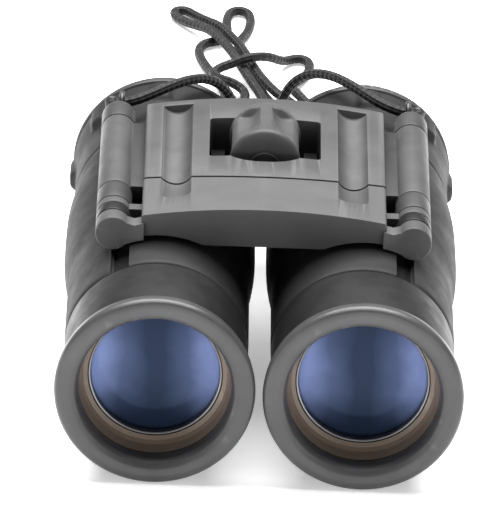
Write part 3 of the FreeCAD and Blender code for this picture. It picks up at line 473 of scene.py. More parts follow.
def carve(base, tools, kind="DIFFERENCE"):
    """Boolean of base with each tool, applied; the tools are removed."""
    for tool in tools:
        step = base.modifiers.new("carve", "BOOLEAN")
        step.operation = kind
        step.solver = "EXACT"
        step.object = tool
        graph = bpy.context.evaluated_depsgraph_get()
        result = bpy.data.meshes.new_from_object(base.evaluated_get(graph))
        base.modifiers.clear()
        old = base.data
        base.data = result
        bpy.data.meshes.remove(old)
        bpy.data.objects.remove(tool)
    return base


def bevelled(base, width, segments=2, angle=35):
    """The mesh of base with its edges bevelled; base is removed."""
    step = base.modifiers.new("bevel", "BEVEL")
    step.width = width * MM
    step.segments = segments
    step.limit_method = "ANGLE"
    step.angle_limit = math.radians(angle)
    step.harden_normals = False
    graph = bpy.context.evaluated_depsgraph_get()
    mesh = bpy.data.meshes.new_from_object(base.evaluated_get(graph))
    bpy.data.objects.remove(base)
    return mesh


def settle(name, base, body, look, nodes, width=0.25, sharp=40):
    """Bevels a carved shape if width is given, cleans it and makes it a finished piece."""
    mesh = bevelled(base, width) if width else base.data.copy()
    if not width:
        bpy.data.objects.remove(base)
    work = bmesh.new()
    work.from_mesh(mesh)
    bmesh.ops.remove_doubles(work, verts=work.verts, dist=1e-7)
    bmesh.ops.dissolve_degenerate(work, edges=work.edges, dist=1e-7)
    work.to_mesh(mesh)
    work.free()
    mesh.name = name
    return finish_mesh(name, mesh, body, look, sharp, nodes)


def bar(name, radius, y0, y1, x, z, segments=64, rounding=0.3):
    """A round bar along y."""
    outline = soften([(0, y0), (radius, y0), (radius, y1), (0, y1)], rounding) if rounding else [
        (0, y0), (radius, y0), (radius, y1), (0, y1)]
    return raw(name, lathe_mesh(name, outline, x, z, segments))


# ---------------------------------------------------------------- strap cord

LEFT_STRAND = [
    (-29.5, 35.1, 37.8), (-27.4, 35.3, 38.0), (-25.0, 35.5, 38.5), (-21.8, 37.3, 39.3),
    (-18.0, 41.1, 39.7), (-14.4, 45.7, 39.2), (-11.2, 50.1, 37.6), (-8.2, 53.9, 34.6),
    (-5.8, 57.1, 29.6), (-4.2, 59.7, 22.0), (-3.4, 61.9, 13.5), (-3.8, 65.3, 5.6),
    (-5.0, 71.3, 1.7), (-6.6, 79.9, 1.2), (-8.9, 90.9, 1.2), (-9.9, 101.9, 1.2), (-9.5, 111.9, 1.2),
    (-8.0, 120.9, 1.2), (-7.0, 128.9, 1.2), (-8.4, 135.9, 1.2), (-10.8, 142.5, 1.2),
    (-12.5, 148.3, 1.2), (-13.1, 153.3, 1.2), (-11.6, 157.1, 1.2), (-8.8, 158.3, 1.2),
    (-7.1, 160.5, 1.2), (-7.0, 164.5, 1.2), (-7.3, 168.9, 1.2), (-7.0, 172.5, 1.2),
    (-6.2, 175.1, 1.2), (-4.5, 175.9, 1.2), (-2.9, 174.9, 1.2), (-2.2, 172.3, 1.2),
    (-2.1, 168.5, 1.2), (-2.8, 163.3, 1.2), (-4.5, 158.5, 1.2), (-4.7, 153.1, 1.2),
    (-3.6, 147.1, 1.2), (-1.9, 141.3, 1.2), (-0.6, 135.3, 1.2), (0.9, 129.3, 1.2),
    (3.2, 123.3, 1.2), (5.0, 117.5, 1.2), (6.2, 111.9, 1.2), (8.6, 108.3, 1.2), (12.0, 107.7, 1.2),
    (14.6, 110.3, 1.2), (14.4, 114.5, 1.2), (11.6, 118.1, 1.3), (7.4, 121.5, 2.4),
    (3.0, 126.3, 3.4), (0.3, 133.1, 3.5), (-1.8, 140.9, 3.4), (-3.6, 148.5, 3.5),
    (-6.1, 155.5, 3.4), (-8.8, 162.2, 3.2), (-11.9, 168.1, 1.9), (-14.2, 172.5, 1.2),
    (-15.8, 174.8, 1.2), (-17.7, 174.8, 1.2), (-18.6, 173.0, 1.2), (-17.2, 169.7, 1.2),
    (-14.2, 165.3, 1.8), (-11.0, 160.1, 3.2), (-8.4, 154.1, 3.5), (-5.9, 147.3, 3.4),
    (-4.1, 139.9, 3.5), (-2.1, 132.3, 3.4), (-0.1, 125.7, 3.4), (1.4, 119.5, 2.6),
    (2.2, 114.3, 1.2), (1.4, 109.5, 1.2), (-1.0, 106.7, 1.2), (-4.0, 107.3, 1.2),
    (-5.6, 111.1, 1.2), (-5.4, 116.9, 1.2), (-3.9, 122.9, 1.2), (-2.9, 128.5, 1.2),
    (-3.6, 131.1, 1.8), (-5.9, 132.0, 2.9), (-8.3, 131.9, 3.6), (-9.9, 133.8, 3.8),
    (-8.9, 136.2, 4.1), (-6.2, 137.3, 4.8), (-3.4, 137.9, 5.9), (-0.6, 139.1, 6.0),
    (2.0, 141.3, 5.0), (4.1, 145.1, 2.7), (5.6, 148.7, 1.3), (7.4, 150.3, 1.2), (9.4, 149.9, 1.2),
    (10.4, 147.5, 1.2), (10.3, 144.1, 1.2), (9.2, 140.1, 1.2), (7.2, 134.9, 1.9), (6.2, 129.7, 3.4),
    (6.9, 124.5, 4.7), (8.6, 119.7, 5.0), (11.0, 114.9, 4.4), (13.4, 110.3, 3.9),
    (15.6, 106.3, 2.0), (18.6, 103.3, 1.3), (22.2, 102.0, 1.2),
]
RIGHT_STRAND = [
    (22.0, 77.8, 1.2), (17.2, 77.1, 1.2), (12.0, 75.9, 1.2), (7.6, 73.8, 1.2), (4.2, 70.5, 1.8),
    (2.2, 66.7, 4.6), (1.4, 63.5, 10.6), (1.6, 61.5, 18.6), (2.6, 60.3, 26.6), (4.8, 59.1, 33.0),
    (8.4, 56.5, 36.8), (12.6, 51.1, 39.0), (17.2, 43.9, 39.7), (21.6, 37.4, 39.3),
    (25.0, 35.5, 38.5), (27.4, 35.3, 38.0), (29.5, 35.1, 37.8),
]
CORD_WIDTH = 2.0
KNOT_X, KNOT_Y, KNOT_Z = 29.75, 91.5, 37.85    # this y is counted from the front, as the shapes' is
COIL_X, COIL_Y = 22.0, 89.9
COIL_TURNS = 4
COIL_MEAN = 11.0
LANE_IN, LANE_OUT = 9.95, 12.05
LAYER_LOW, LAYER_HIGH = 1.6, 3.7


def centre_curve(name, points):
    """The cord's centre line: a smooth NURBS spline with the route's points as control points."""
    data = bpy.data.curves.new(name, "CURVE")
    data.dimensions = "3D"
    data.resolution_u = 10
    spline = data.splines.new("NURBS")
    spline.points.add(len(points) - 1)
    for point, (x, y, z) in zip(spline.points, points):
        point.co = (x * MM, y * MM, z * MM, 1)
    spline.order_u = 3
    spline.use_endpoint_u = True
    return data


def line_of(name, points):
    """The points of the smooth line through the route, read from its NURBS spline."""
    data = centre_curve(name, points)
    thing = bpy.data.objects.new(name, data)
    bpy.context.collection.objects.link(thing)
    graph = bpy.context.evaluated_depsgraph_get()
    mesh = bpy.data.meshes.new_from_object(thing.evaluated_get(graph))
    line = [vert.co.copy() for vert in mesh.vertices]
    bpy.data.objects.remove(thing)
    bpy.data.meshes.remove(mesh)
    return line


def tube_mesh(name, line, radius, sides=24, pitch=3.0):
    """A round tube along a line, with a strand-relief braid and UVs in braid repeats."""
    mesh = bpy.data.meshes.new(name)
    work = bmesh.new()
    uv = work.loops.layers.uv.new("UVMap")
    fine = [line[0]]
    for a, b in zip(line, line[1:]):
        parts = max(1, round((b - a).length / (0.45 * MM)))
        fine += [a.lerp(b, (i + 1) / parts) for i in range(parts)]
    normal, rings, travelled, marks = None, [], 0.0, []
    for i, point in enumerate(fine):
        ahead = (fine[min(i + 1, len(fine) - 1)] - fine[max(i - 1, 0)]).normalized()
        if normal is None:
            normal = ahead.orthogonal().normalized()
        normal = (normal - ahead * normal.dot(ahead)).normalized()
        across = ahead.cross(normal)
        if i:
            travelled += (point - fine[i - 1]).length
        marks.append(travelled / (pitch * MM))
        ring = []
        for k in range(sides):
            angle = 2 * math.pi * k / sides
            phase = 2 * math.pi * marks[-1]
            swell = math.sin(phase + 4 * angle) * math.sin(phase - 4 * angle)
            r = radius * (0.965 + 0.035 * swell)
            ring.append(work.verts.new(point + (normal * math.cos(angle) + across * math.sin(angle)) * r))
        rings.append(ring)
    for i in range(len(rings) - 1):
        for k in range(sides):
            n = (k + 1) % sides
            face = work.faces.new((rings[i][k], rings[i][n], rings[i + 1][n], rings[i + 1][k]))
            for loop, (u, v) in zip(face.loops, ((marks[i], k), (marks[i], k + 1),
                                                 (marks[i + 1], k + 1), (marks[i + 1], k))):
                loop[uv].uv = (u, v / sides)
    for ring in (rings[0], rings[-1]):
        work.faces.new(ring)
    bmesh.ops.recalc_face_normals(work, faces=work.faces)
    work.to_mesh(mesh)
    work.free()
    return mesh


def strand(name, points, node):
    """One free strand of the cord, along its route."""
    line = line_of(name + "_line", points)
    mesh = tube_mesh(name, line, CORD_WIDTH / 2 * MM)
    piece = finish_mesh(name, mesh, "bridge", CORD, 60, [node])
    return piece


def stop_end(name, sign):
    """The melted end that keeps the cord from slipping back through its eye."""
    work = bmesh.new()
    bmesh.ops.create_icosphere(work, subdivisions=4, radius=1.0)
    for vert in work.verts:
        x, y, z = vert.co
        lump = 1 + 0.05 * math.sin(5 * y + 2 * x) * math.cos(4 * z - x) + 0.03 * math.sin(9 * z + 4 * y)
        vert.co = at(sign * KNOT_X + x * 1.3 * lump, KNOT_Y + y * 1.42 * lump, KNOT_Z + z * 1.42 * lump)
    mesh = bpy.data.meshes.new(name)
    work.to_mesh(mesh)
    work.free()
    return finish_mesh(name, mesh, "bridge", MELTED, 60)


def coil_points():
    """Four flat turns in two layers: out, in, in on top, and out on top."""
    points, steps = [], 14
    for k in range(COIL_TURNS * steps + 1):
        turn = k / steps
        layer = min(3.999, turn)
        lane = int(layer)
        blend = min(1.0, max(0.0, (layer - lane - 0.75) / 0.25))
        spots = [(LANE_OUT, LAYER_LOW), (LANE_IN, LAYER_LOW), (LANE_IN, LAYER_HIGH),
                 (LANE_OUT, LAYER_HIGH), (LANE_OUT, LAYER_HIGH)]
        r = spots[lane][0] * (1 - blend) + spots[lane + 1][0] * blend
        z = spots[lane][1] * (1 - blend) + spots[lane + 1][1] * blend
        angle = math.pi / 2 - 2 * math.pi * turn
        points.append((COIL_X + r * math.cos(angle), COIL_Y + r * math.sin(angle), z))
    return points


def strap():
    """Both strands, their stop ends, and the spare cord as a coil held by a band."""
    knots = [stop_end("cord_end_" + side, sign) for side, sign in SIDES.items()]
    strand("cord_left", LEFT_STRAND, "strap_cord_left")
    strand("cord_right", RIGHT_STRAND[::-1], "strap_cord_right")
    line = line_of("coil_line", coil_points())
    mesh = tube_mesh("cord_coil", line, CORD_WIDTH / 2 * MM)
    coil = finish_mesh("cord_coil", mesh, "bridge", CORD, 60, ["strap_coil"])
    outline = soften([(COIL_MEAN - 2.6, 0.15), (COIL_MEAN + 2.6, 0.15), (COIL_MEAN + 2.6, 5.25),
                      (COIL_MEAN - 2.6, 5.25)], 1.0)
    inside = soften([(COIL_MEAN - 2.15, 0.6), (COIL_MEAN + 2.15, 0.6), (COIL_MEAN + 2.15, 4.8),
                     (COIL_MEAN - 2.15, 4.8)], 0.8)
    work = bmesh.new()
    steps = 12
    loops = []
    for k in range(steps + 1):
        angle = (k / steps - 0.5) * 4 / COIL_MEAN
        pair = []
        for ring in (outline, inside):
            pair.append([work.verts.new(((COIL_X + r * math.cos(angle)) * MM,
                                         (COIL_Y + r * math.sin(angle)) * MM, z * MM)) for r, z in ring])
        loops.append(pair)
    count = len(outline)
    for (out_a, in_a), (out_b, in_b) in zip(loops, loops[1:]):
        for i in range(count):
            j = (i + 1) % count
            work.faces.new((out_a[i], out_a[j], out_b[j], out_b[i]))
            work.faces.new((in_a[j], in_a[i], in_b[i], in_b[j]))
    for out_ring, in_ring in (loops[0], loops[-1]):
        for i in range(count):
            j = (i + 1) % count
            work.faces.new((out_ring[i], out_ring[j], in_ring[j], in_ring[i]))
    bmesh.ops.recalc_face_normals(work, faces=work.faces)
    mesh = bpy.data.meshes.new("cord_tie")
    work.to_mesh(mesh)
    work.free()
    tie = finish_mesh("cord_tie", mesh, "bridge", WEBBING, 40, ["strap_tie"])


strap()

# ---------------------------------------------------------------- objectives


def objective(side, sign):
    """One front unit: bezel, tube with its driving ring, glass, retainer and inner sleeve."""
    x = sign * AXIS_X
    body = "objective_" + side
    lathe("bezel_" + side, [
        (14.2, 1.9), (14.7, 0.9), (15.6, 0.35), (17.1, 0.0), (18.1, 0.25), (18.55, 0.9), (18.6, 1.6),
        (18.45, 3.0), (18.0, 3.4), (17.3, 3.4), (16.6, 3.4), (15.3, 4.4), (14.2, 4.4)],
        x, AXIS_Z, body, BEZEL, ["objective_bezel_" + side], 0.35, 192)
    tube = raw("tube", lathe_mesh("tube", soften([
        (14.2, 4.4), (15.1, 4.4), (16.6, 3.4), (17.0, 3.5), (17.15, 5.0), (17.15, 20.3), (16.9, 20.8),
        (15.4, 20.8), (15.4, 48.0), (13.6, 48.0), (13.6, 14.8), (12.55, 14.8), (12.55, 8.6),
        (14.2, 8.6), (14.2, 7.9), (14.0, 7.7), (14.2, 7.5), (14.2, 6.6), (14.0, 6.4),
        (14.2, 6.2)], 0.12, 2), x, AXIS_Z, 160))
    hinge_x = sign * HINGE_X
    carve(tube, [radial_bar("neck", sign, NECK_HALF, 15.0, REACH, 34.6, 37.8),
                 bar("ring_b", KNUCKLE, 34.6, 37.8, hinge_x, HINGE_Z, 64, 0.35)], "UNION")
    carve(tube, [bar("bore", PIN_HOLE, 33, 39, hinge_x, HINGE_Z, 40, 0)])
    settle("objective_tube_" + side + "_look", tube, body, COLLAR,
           ["objective_tube_" + side], 0)
    lathe("front_glass_" + side, [(0, 9.3), (3, 9.34), (6, 9.5), (8.5, 9.8), (10.5, 10.12), (12.0, 10.45),
                                  (12.45, 10.6), (12.45, 12.2), (6, 12.9), (0, 13.0)],
          x, AXIS_Z, body, LENS, ["objective_crown_lens_" + side], 0, 128, sharp=50)
    lathe("retainer_" + side, [(12.0, 8.75), (12.3, 8.6), (12.55, 8.8), (12.5, 10.55), (12.0, 10.4),
                               (11.85, 9.6)],
          x, AXIS_Z, body, RING, ["lens_retaining_ring_" + side], 0.08, 144)
    lathe("inner_sleeve_" + side, [(14.18, 4.5), (14.18, 8.55), (12.6, 8.62), (12.5, 8.5), (13.3, 8.1),
                                   (13.8, 7.2), (14.0, 5.6)],
          x, AXIS_Z, body, INNER, (), 0.1, 144)


# ---------------------------------------------------------------- barrels

SKIN_RADIUS = 16.9             # only points outside this radius are shaped, so the inner wall stays round
SWELL_Y, SWELL_HALF = 64.5, 20.5
BUMP_Y, BUMP_RADIUS = 102.3, 18.3


def falloff(t):
    """Smooth step from 0 to 1 as t goes from 0 to 1."""
    t = max(0.0, min(1.0, t))
    return t * t * (3 - 2 * t)


def armour_shape(angle, radius, y):
    """Outer radius of the rubber: a long swelling on each flank."""
    if radius < SKIN_RADIUS:
        return radius
    flank = abs(math.sin(angle)) ** 2
    swell = max(0.0, 1 - ((y - SWELL_Y) / SWELL_HALF) ** 2)
    return radius + 1.0 * falloff(swell) * falloff((flank - 0.25) / 0.75)


def grip_shape(sign):
    """Outer radius of the rear grip, with eight finger bumps around it."""
    def shape(angle, radius, y):
        if radius < SKIN_RADIUS:
            return radius
        step = math.degrees(angle - sign * LEAN) - 22.5
        nearest = abs((step + 22.5) % 45 - 22.5)
        around = falloff(1 - (nearest - 3) / 5.5)
        along = falloff(1 - (abs(y - BUMP_Y) - 2.6) / 1.7)
        return radius + max(0.0, BUMP_RADIUS - radius) * around * along
    return shape


def housing(side, sign):
    """The barrel's tube with its knuckles, shaped on the right side and mirrored for the left."""
    shell = raw("housing", lathe_mesh("housing", [
        (15.45, 21.15), (16.4, 21.15), (16.4, 106.6), (13.45, 106.6), (13.45, 96), (15.45, 94)],
        AXIS_X, AXIS_Z, 128))
    carve(shell, [bar("room", KNUCKLE_ROOM, 20, 40.85, HINGE_X, HINGE_Z, 64, 0),
                  bar("room", KNUCKLE_ROOM, 47.65, 80.25, HINGE_X, HINGE_Z, 64, 0),
                  radial_bar("slot", 1, SLOT_HALF, 13, 22, 20.1, 38.3)])
    cap = raw("cap", lathe_mesh("cap", soften([
        (0, 80.3), (3.3, 80.3), (3.3, 86.3), (3.0, 87.2), (2.3, 88.0), (1.6, 88.3), (0, 88.3)], 0.3),
        HINGE_X, HINGE_Z, 72))
    carve(shell, [radial_bar("pad_front", 1, PAD_HALF, 15.8, REACH, 40.9, 47.6),
                  radial_bar("pad_rear", 1, PAD_HALF, 15.8, REACH, 80.3, 87.1),
                  bar("ring_a", KNUCKLE, 40.9, 47.6, HINGE_X, HINGE_Z, 72, 0.35), cap], "UNION")
    carve(shell, [bar("bore", PIN_HOLE, 39, 90, HINGE_X, HINGE_Z, 40, 0)])
    if sign < 0:
        for vert in shell.data.vertices:
            vert.co.x = -vert.co.x
        shell.data.flip_normals()
    settle("housing_" + side, shell, "barrel_" + side, HOUSING,
           ["barrel_housing_" + side], 0)


def barrel(side, sign):
    """One barrel: sleeve, rear grip, housing, and the eyepiece behind them."""
    x = sign * AXIS_X
    body = "barrel_" + side
    hinge_x = sign * HINGE_X
    rows = [(16.42, 21.1), (16.75, 21.12), (17.0, 21.35), (17.15, 21.8)]
    rows += [(17.2, 22.4 + step * (86.0 - 22.4) / 60) for step in range(61)]
    rows += [(17.1, 86.25), (16.85, 86.4), (16.42, 86.4)]
    armour = raw("armour", lathe_mesh("armour", rows, x, AXIS_Z, 192, armour_shape))
    carve(armour, [bar("room", KNUCKLE_ROOM, 20, 90, hinge_x, HINGE_Z, 64, 0),
                   radial_bar("front", sign, PAD_HALF + 0.02, 10, 22, 40.9, 47.6),
                   radial_bar("rear", sign, PAD_HALF + 0.02, 10, 22, 80.3, 88.3),
                   radial_bar("slot", sign, SLOT_HALF, 10, 22, 20.1, 38.3)])
    settle("armour_" + side, armour, body, ARMOUR, ["rubber_armour_" + side], 0)

    rows = [(16.42, 87.1), (16.7, 87.12), (16.85, 87.4), (17.0, 88.0)]
    for step in range(57):
        y = 88.6 + step * 17.6 / 56
        rows.append((17.05 + 0.55 * falloff((y - 96) / 9), y))
    rows += [(17.45, 106.6), (17.2, 106.8), (16.42, 106.8)]
    grip = raw("grip", lathe_mesh("grip", rows, x, AXIS_Z, 240, grip_shape(sign)))
    carve(grip, [bar("room", KNUCKLE_ROOM, 85, 89.0, hinge_x, HINGE_Z, 64, 0),
                 radial_bar("rear", sign, PAD_HALF + 0.02, 10, 22, 80.3, 88.3)])
    settle("rear_grip_" + side + "_look", grip, body, ARMOUR, ["rear_grip_" + side], 0)

    housing(side, sign)
    end_body = "eyepiece_right" if side == "right" else body
    ring_body = "diopter" if side == "right" else body
    ring_node = "diopter_ring" if side == "right" else "eyepiece_rim_left"

    def ribs(angle, radius, y):
        if side == "right" and radius > 17.4 and 107.7 < y < 108.8:
            return radius - 0.28 * (0.5 + 0.5 * math.cos(60 * angle))
        return radius

    lathe("end_ring_" + side, [
        (13.55, 107.1), (17.2, 107.1), (17.65, 107.3), (17.8, 107.6), (17.8, 107.85), (17.8, 108.2),
        (17.8, 108.6), (17.7, 109.0), (17.3, 109.3), (15.05, 109.3), (15.05, 108.1), (13.55, 108.1)],
        x, AXIS_Z, ring_body, HOUSING, [ring_node], 0.12, 360, ribs)
    lathe("eyecup_" + side + "_look", [
        (13.35, 108.9), (14.6, 108.9), (14.6, 110.2), (16.2, 110.2), (16.6, 110.6), (16.62, 111.1),
        (16.4, 111.5), (16.6, 111.8), (16.4, 112.15), (15.8, 112.2), (15.2, 112.1), (14.4, 111.2),
        (13.4, 110.0), (12.6, 109.3), (11.0, 109.3), (11.0, 108.4), (13.35, 108.4)],
        x, AXIS_Z, end_body, EYECUP, ["eyecup_" + side], 0.18, 160)
    lathe("eye_cell_" + side, [
        (11.4, 92.0), (13.35, 92.0), (13.35, 108.4), (10.6, 108.4), (9.6, 108.0), (9.2, 107.5),
        (10.8, 107.5), (10.8, 99), (11.4, 99)],
        x, AXIS_Z, end_body, COLLAR, ["eyepiece_cell_" + side], 0.15, 128)
    lathe("eye_glass_" + side, [
        (0, 101.8), (6, 102.0), (10.75, 102.6), (10.75, 107.45), (9.1, 107.45), (7.5, 107.8), (5, 108.1),
        (2.5, 108.25), (0, 108.3)],
        x, AXIS_Z, end_body, EYE_LENS, ["eye_lens_" + side], 0, 96, sharp=50)


for side, sign in SIDES.items():
    objective(side, sign)
    barrel(side, sign)

# ---------------------------------------------------------------- bridge and focusing

CROWN_TOP, CROWN_RADIUS, BELLY = 43.0, 126.0, 34.9
PLATE_HALF = 22.9
ARCH_RADIUS = 18.1
FACE_SLOPE = 0.16
CHANNEL_X, CHANNEL_RADIUS, CHANNEL_RISE = 16.7, 3.6, 2.1
PARTING_Y, PARTING_RADIUS = 45.8, 110
REAR_FACE_RADIUS, FRONT_FACE_RADIUS = 109.65, 110.4    # the two plates' faces, one parting gap apart
WEB_IN, WING_OUT, WING_ARCH = 22.4, 27.6, 17.7


def plate_outline():
    """Section across the plate: crowned top, rolled edges, arched underside over each barrel."""
    top = []
    for step in range(47):
        x = -PLATE_HALF + 0.5 + (2 * PLATE_HALF - 1.0) * step / 46
        top.append((x, CROWN_TOP - CROWN_RADIUS + math.sqrt(CROWN_RADIUS ** 2 - x * x)))
    edge_top = top[0][1]
    right_edge = [(PLATE_HALF - 0.15, edge_top - 0.2), (PLATE_HALF, edge_top - 0.6)]
    under = []
    for step in range(61):
        x = PLATE_HALF - 2 * PLATE_HALF * step / 60
        arch = AXIS_Z + math.sqrt(max(0.0, ARCH_RADIUS ** 2 - (abs(x) - AXIS_X) ** 2))
        under.append((x, max(BELLY, arch)))
    left_edge = [(-x, z) for x, z in reversed(right_edge)]
    return top + right_edge + under + left_edge


def channel_tool(name, sign, y0, y1):
    """Cutter for one long groove: a round-bottomed scoop with a domed front end and a square rear one."""
    radius = CHANNEL_RADIUS
    tilt = math.asin(CHANNEL_X / CROWN_RADIUS)
    outline = [(0, y0), (radius * 0.5, y0 + 0.1), (radius * 0.78, y0 + 0.5), (radius * 0.94, y0 + 1.2),
               (radius, y0 + 2.2), (radius, y1), (0, y1)]
    x = sign * (CHANNEL_X + CHANNEL_RISE * math.sin(tilt))
    crown = CROWN_TOP - CROWN_RADIUS + math.sqrt(CROWN_RADIUS ** 2 - CHANNEL_X ** 2)
    return raw(name, lathe_mesh(name, outline, x, crown + CHANNEL_RISE * math.cos(tilt), 96))


def drum(name, radius):
    """The upright drum whose face is the curved parting line across the plate."""
    outline = []
    for k in range(720):
        angle = 2 * math.pi * k / 720
        outline.append((radius * math.sin(angle), PARTING_Y + PARTING_RADIUS - radius * math.cos(angle)))
    return raw(name, prism_mesh(name, outline, 30, 48, "z"))


def box(name, x0, x1, y0, y1, z0, z1, radius=0.01):
    """An upright block with rounded corners."""
    return raw(name, prism_mesh(name, rounded_rectangle(x0, x1, y0, y1, radius), z0, z1, "z"))


def webs(sign, y0, y1):
    """The strip between the plate's edge and a knuckle."""
    x0, x1 = sorted((sign * WEB_IN, sign * 26.65))
    return box("web", x0, x1, y0, y1, 36.2, 38.8)


def front_wing(sign):
    """The thick wing that carries the plate's front face out to the first knuckle."""
    under = []
    for step in range(13):
        x = WEB_IN + 4.2 * step / 12
        under.append((x, AXIS_Z + math.sqrt(WING_ARCH ** 2 - (x - AXIS_X) ** 2)))
    corners = under + [(WING_OUT, 36.0), (WING_OUT, 39.4), (26.0, 39.4), (24.2, 38.9), (WEB_IN, 39.4)]
    return raw("wing", prism_mesh("wing", [(sign * x, z) for x, z in corners], 30.2, 33.7))


def bridge():
    """The arched plate in its two parts, with the long knuckles and the driving ears."""
    rear = raw("rear_plate", prism_mesh("rear_plate", plate_outline(), 43.8, 84.1))
    carve(rear, [drum("front_face", REAR_FACE_RADIUS)], "INTERSECT")
    carve(rear, [box("window", -10.6, 10.6, 56.0, 74.4, 30, 48, 0.8),
                 box("seat", -10.2, 10.2, 48.8, 81.5, 30, 36.1, 0.2),
                 channel_tool("channel", -1, 42.8, 82.0), channel_tool("channel", 1, 42.8, 82.0)])
    joints = []
    for side, sign in SIDES.items():
        joints += [bar("long_" + side, KNUCKLE, 47.9, 80.0, sign * HINGE_X, HINGE_Z, 72, 0.45),
                   webs(sign, 48.9, 79.6)]
    carve(rear, joints, "UNION")
    scoop = [(0, 53.2), (3.0, 53.3), (4.6, 53.9), (5.9, 54.8), (6.8, 55.7), (7.2, 56.4), (0, 56.4)]
    carve(rear, [raw("scoop", lathe_mesh("scoop", scoop, 0, KNOB_Z, 128)),
                 bar("spindle_way", 1.9, 42.8, 80, 0, KNOB_Z, 40, 0)]
          + [bar("pin_way_" + side, 1.2, 46.9, 81, sign * HINGE_X, HINGE_Z, 40, 0)
             for side, sign in SIDES.items()])
    settle("bridge_rear_plate", rear, "bridge", REAR_BRIDGE, ["bridge_body"], 0.16)

    front = raw("front_plate", prism_mesh("front_plate", plate_outline(), 30.2, 49.8))
    for vert in front.data.vertices:
        if vert.co.y < at(0, 30.3, 0).y:
            vert.co.y += FACE_SLOPE * max(0.0, CROWN_TOP * MM - vert.co.z)
    carve(front, [drum("rear_face", FRONT_FACE_RADIUS), box("nut_room", -3.6, 3.6, 36.2, 41.2, 30, 42.2),
                  bar("tip_room", 1.7, 32, 50, 0, KNOB_Z, 40, 0),
                  box("front_seat", -8.2, 8.2, 33.4, 43.8, 30, 36.1, 0.2),
                  channel_tool("channel", -1, 37.4, 53.8), channel_tool("channel", 1, 37.4, 53.8)])
    joints = []
    for side, sign in SIDES.items():
        joints += [bar("ear_a_" + side, KNUCKLE, 38.1, 40.6, sign * HINGE_X, HINGE_Z, 72, 0.35),
                   bar("ear_b_" + side, KNUCKLE, 30.2, 34.3, sign * HINGE_X, HINGE_Z, 72, 0.3),
                   webs(sign, 38.1, 40.6), front_wing(sign)]
    carve(front, joints, "UNION")
    carve(front, [bar("pin_way_" + side, PIN_HOLE, 30.9, 42, sign * HINGE_X, HINGE_Z, 40, 0)
                  for side, sign in SIDES.items()])
    settle("bridge_front_plate", front, "carrier", BRIDGE, ["focus_carrier"], 0.16)


def knob_shape(angle, radius, y):
    """Six wide finger scoops, steep at the rear end and running out towards the round front edge."""
    if radius < 4.5 or y > 71.5:
        return radius
    step = math.degrees(angle) - 30
    nearest = abs((step + 30) % 60 - 30)
    around = max(0.0, 1 - (nearest / 20.0) ** 2) ** 0.75
    along = falloff((70.6 - y) / 1.0) * falloff((y - 59.0) / 5.0)
    return radius - 1.3 * around * along


def focusing():
    """The focus wheel and the bush in front of it."""
    rows = [(1.2, 57.62), (3.2, 57.66), (4.2, 57.72), (5.0, 57.8), (5.7, 57.92), (6.2, 58.08), (6.55, 58.3),
            (6.74, 58.6), (6.8, 59.0)]
    rows += [(6.8, 59.6 + step * 1.1) for step in range(9)]
    rows += [(6.8, 68.9 + 0.2 * step) for step in range(12)]
    rows += [(6.8, 71.8), (6.74, 72.3), (6.5, 72.62), (6.0, 72.8), (1.2, 72.8)]
    lathe("bush_front_look", [(1.25, 49.0), (1.9, 49.0), (1.9, 53.0), (1.7, 53.1), (1.25, 53.1)],
          0, KNOB_Z, "bridge", COLLAR, ["spindle_bush_front"], 0, 48)
    lathe("focus_wheel", rows, 0, KNOB_Z, "knob", KNOB, ["focus_knob"], 0, 240,
          knob_shape, 38)


bridge()
focusing()

# ---------------------------------------------------------------- CAD pieces that keep their shape

KEPT_LOOKS = {
    "objective_flint_lens": PRISM, "prism_cage": INNER, "roof_prism": PRISM, "half_prism": PRISM,
    "field_lens": PRISM, "spindle_bush_rear": BRASS, "focus_nut": BRASS, "hinge_pin": STEEL,
    "focus_spindle": STEEL, "spindle_clip": COLLAR, "strap_lug": BLACKED, "cover_screws": STEEL,
    "carrier_screws": STEEL, "bridge_cover": COLLAR, "carrier_cover": BRIDGE,
}
for node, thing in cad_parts.items():
    for start, look in KEPT_LOOKS.items():
        if node.startswith(start) and hasattr(thing.data, "materials"):
            thing.data.materials.clear()
            thing.data.materials.append(look)
            if start in ("bridge_cover", "carrier_cover"):
                step = thing.modifiers.new("edge", "BEVEL")
                step.width = 0.2 * MM
                step.segments = 2

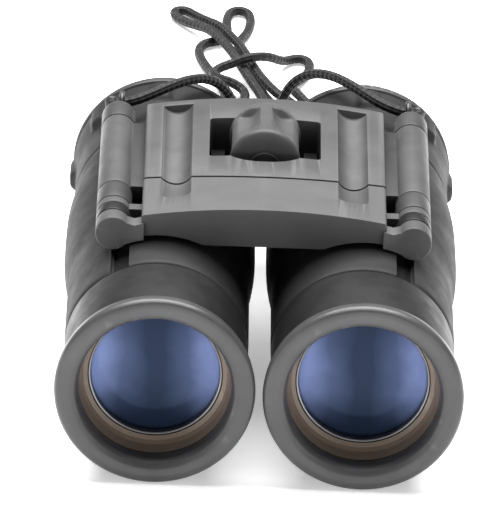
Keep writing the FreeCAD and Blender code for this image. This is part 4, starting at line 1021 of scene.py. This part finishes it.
# ---------------------------------------------------------------- floor, light


def floor():
    """The plain pale floor, which glows a little so that it stays near white."""
    mesh = bpy.data.meshes.new("floor")
    half = 6.0
    mesh.from_pydata([(-half, -half, 0), (half, -half, 0), (half, half, 0), (-half, half, 0)], [],
                     [(0, 1, 2, 3)])
    thing = bpy.data.objects.new("floor", mesh)
    bpy.context.collection.objects.link(thing)
    made, nodes, links, shader = material("floor_paper")
    coords = nodes.new("ShaderNodeTexCoord").outputs["Object"]
    links.new(ramp(nodes, links, noise(nodes, links, coords, 30), [
        (0.3, (0.93, 0.93, 0.93)), (0.7, (0.96, 0.96, 0.96))]), shader.inputs["Base Color"])
    shader.inputs["Emission Color"].default_value = (1, 1, 1, 1)
    shader.inputs["Emission Strength"].default_value = 0.4
    shader.inputs["Roughness"].default_value = 0.9
    mesh.materials.append(made)


def lamp(name, place, aim, wide, high, watts):
    """A rectangular soft light at place, aimed at a point."""
    data = bpy.data.lights.new(name, "AREA")
    data.shape = "RECTANGLE"
    data.size = wide
    data.size_y = high
    data.energy = watts
    thing = bpy.data.objects.new(name, data)
    bpy.context.collection.objects.link(thing)
    thing.location = place
    thing.rotation_euler = (Vector(aim) - Vector(place)).to_track_quat("-Z", "Y").to_euler()


def studio():
    """Even light all round, a large overhead light and three small low ones."""
    world = bpy.data.worlds.new("studio")
    bpy.context.scene.world = world
    world.use_nodes = True
    world.node_tree.nodes["Background"].inputs["Color"].default_value = (1, 1, 1, 1)
    world.node_tree.nodes["Background"].inputs["Strength"].default_value = 0.2
    lamp("overhead", (0.0, 0.45, 1.3), (0, 0.08, 0), 1.6, 1.3, 78.0)
    lamp("left_box", (-0.8, -0.7, 0.28), (0, -0.05, 0.02), 0.35, 0.5, 1.4)
    lamp("right_box", (0.8, -0.7, 0.34), (0, -0.05, 0.02), 0.35, 0.5, 1.4)
    lamp("low_front", (0.0, -1.0, 0.09), (0, -0.05, 0.0), 1.0, 0.15, 1.9)


floor()
studio()
bpy.context.scene.view_settings.view_transform = "Standard"
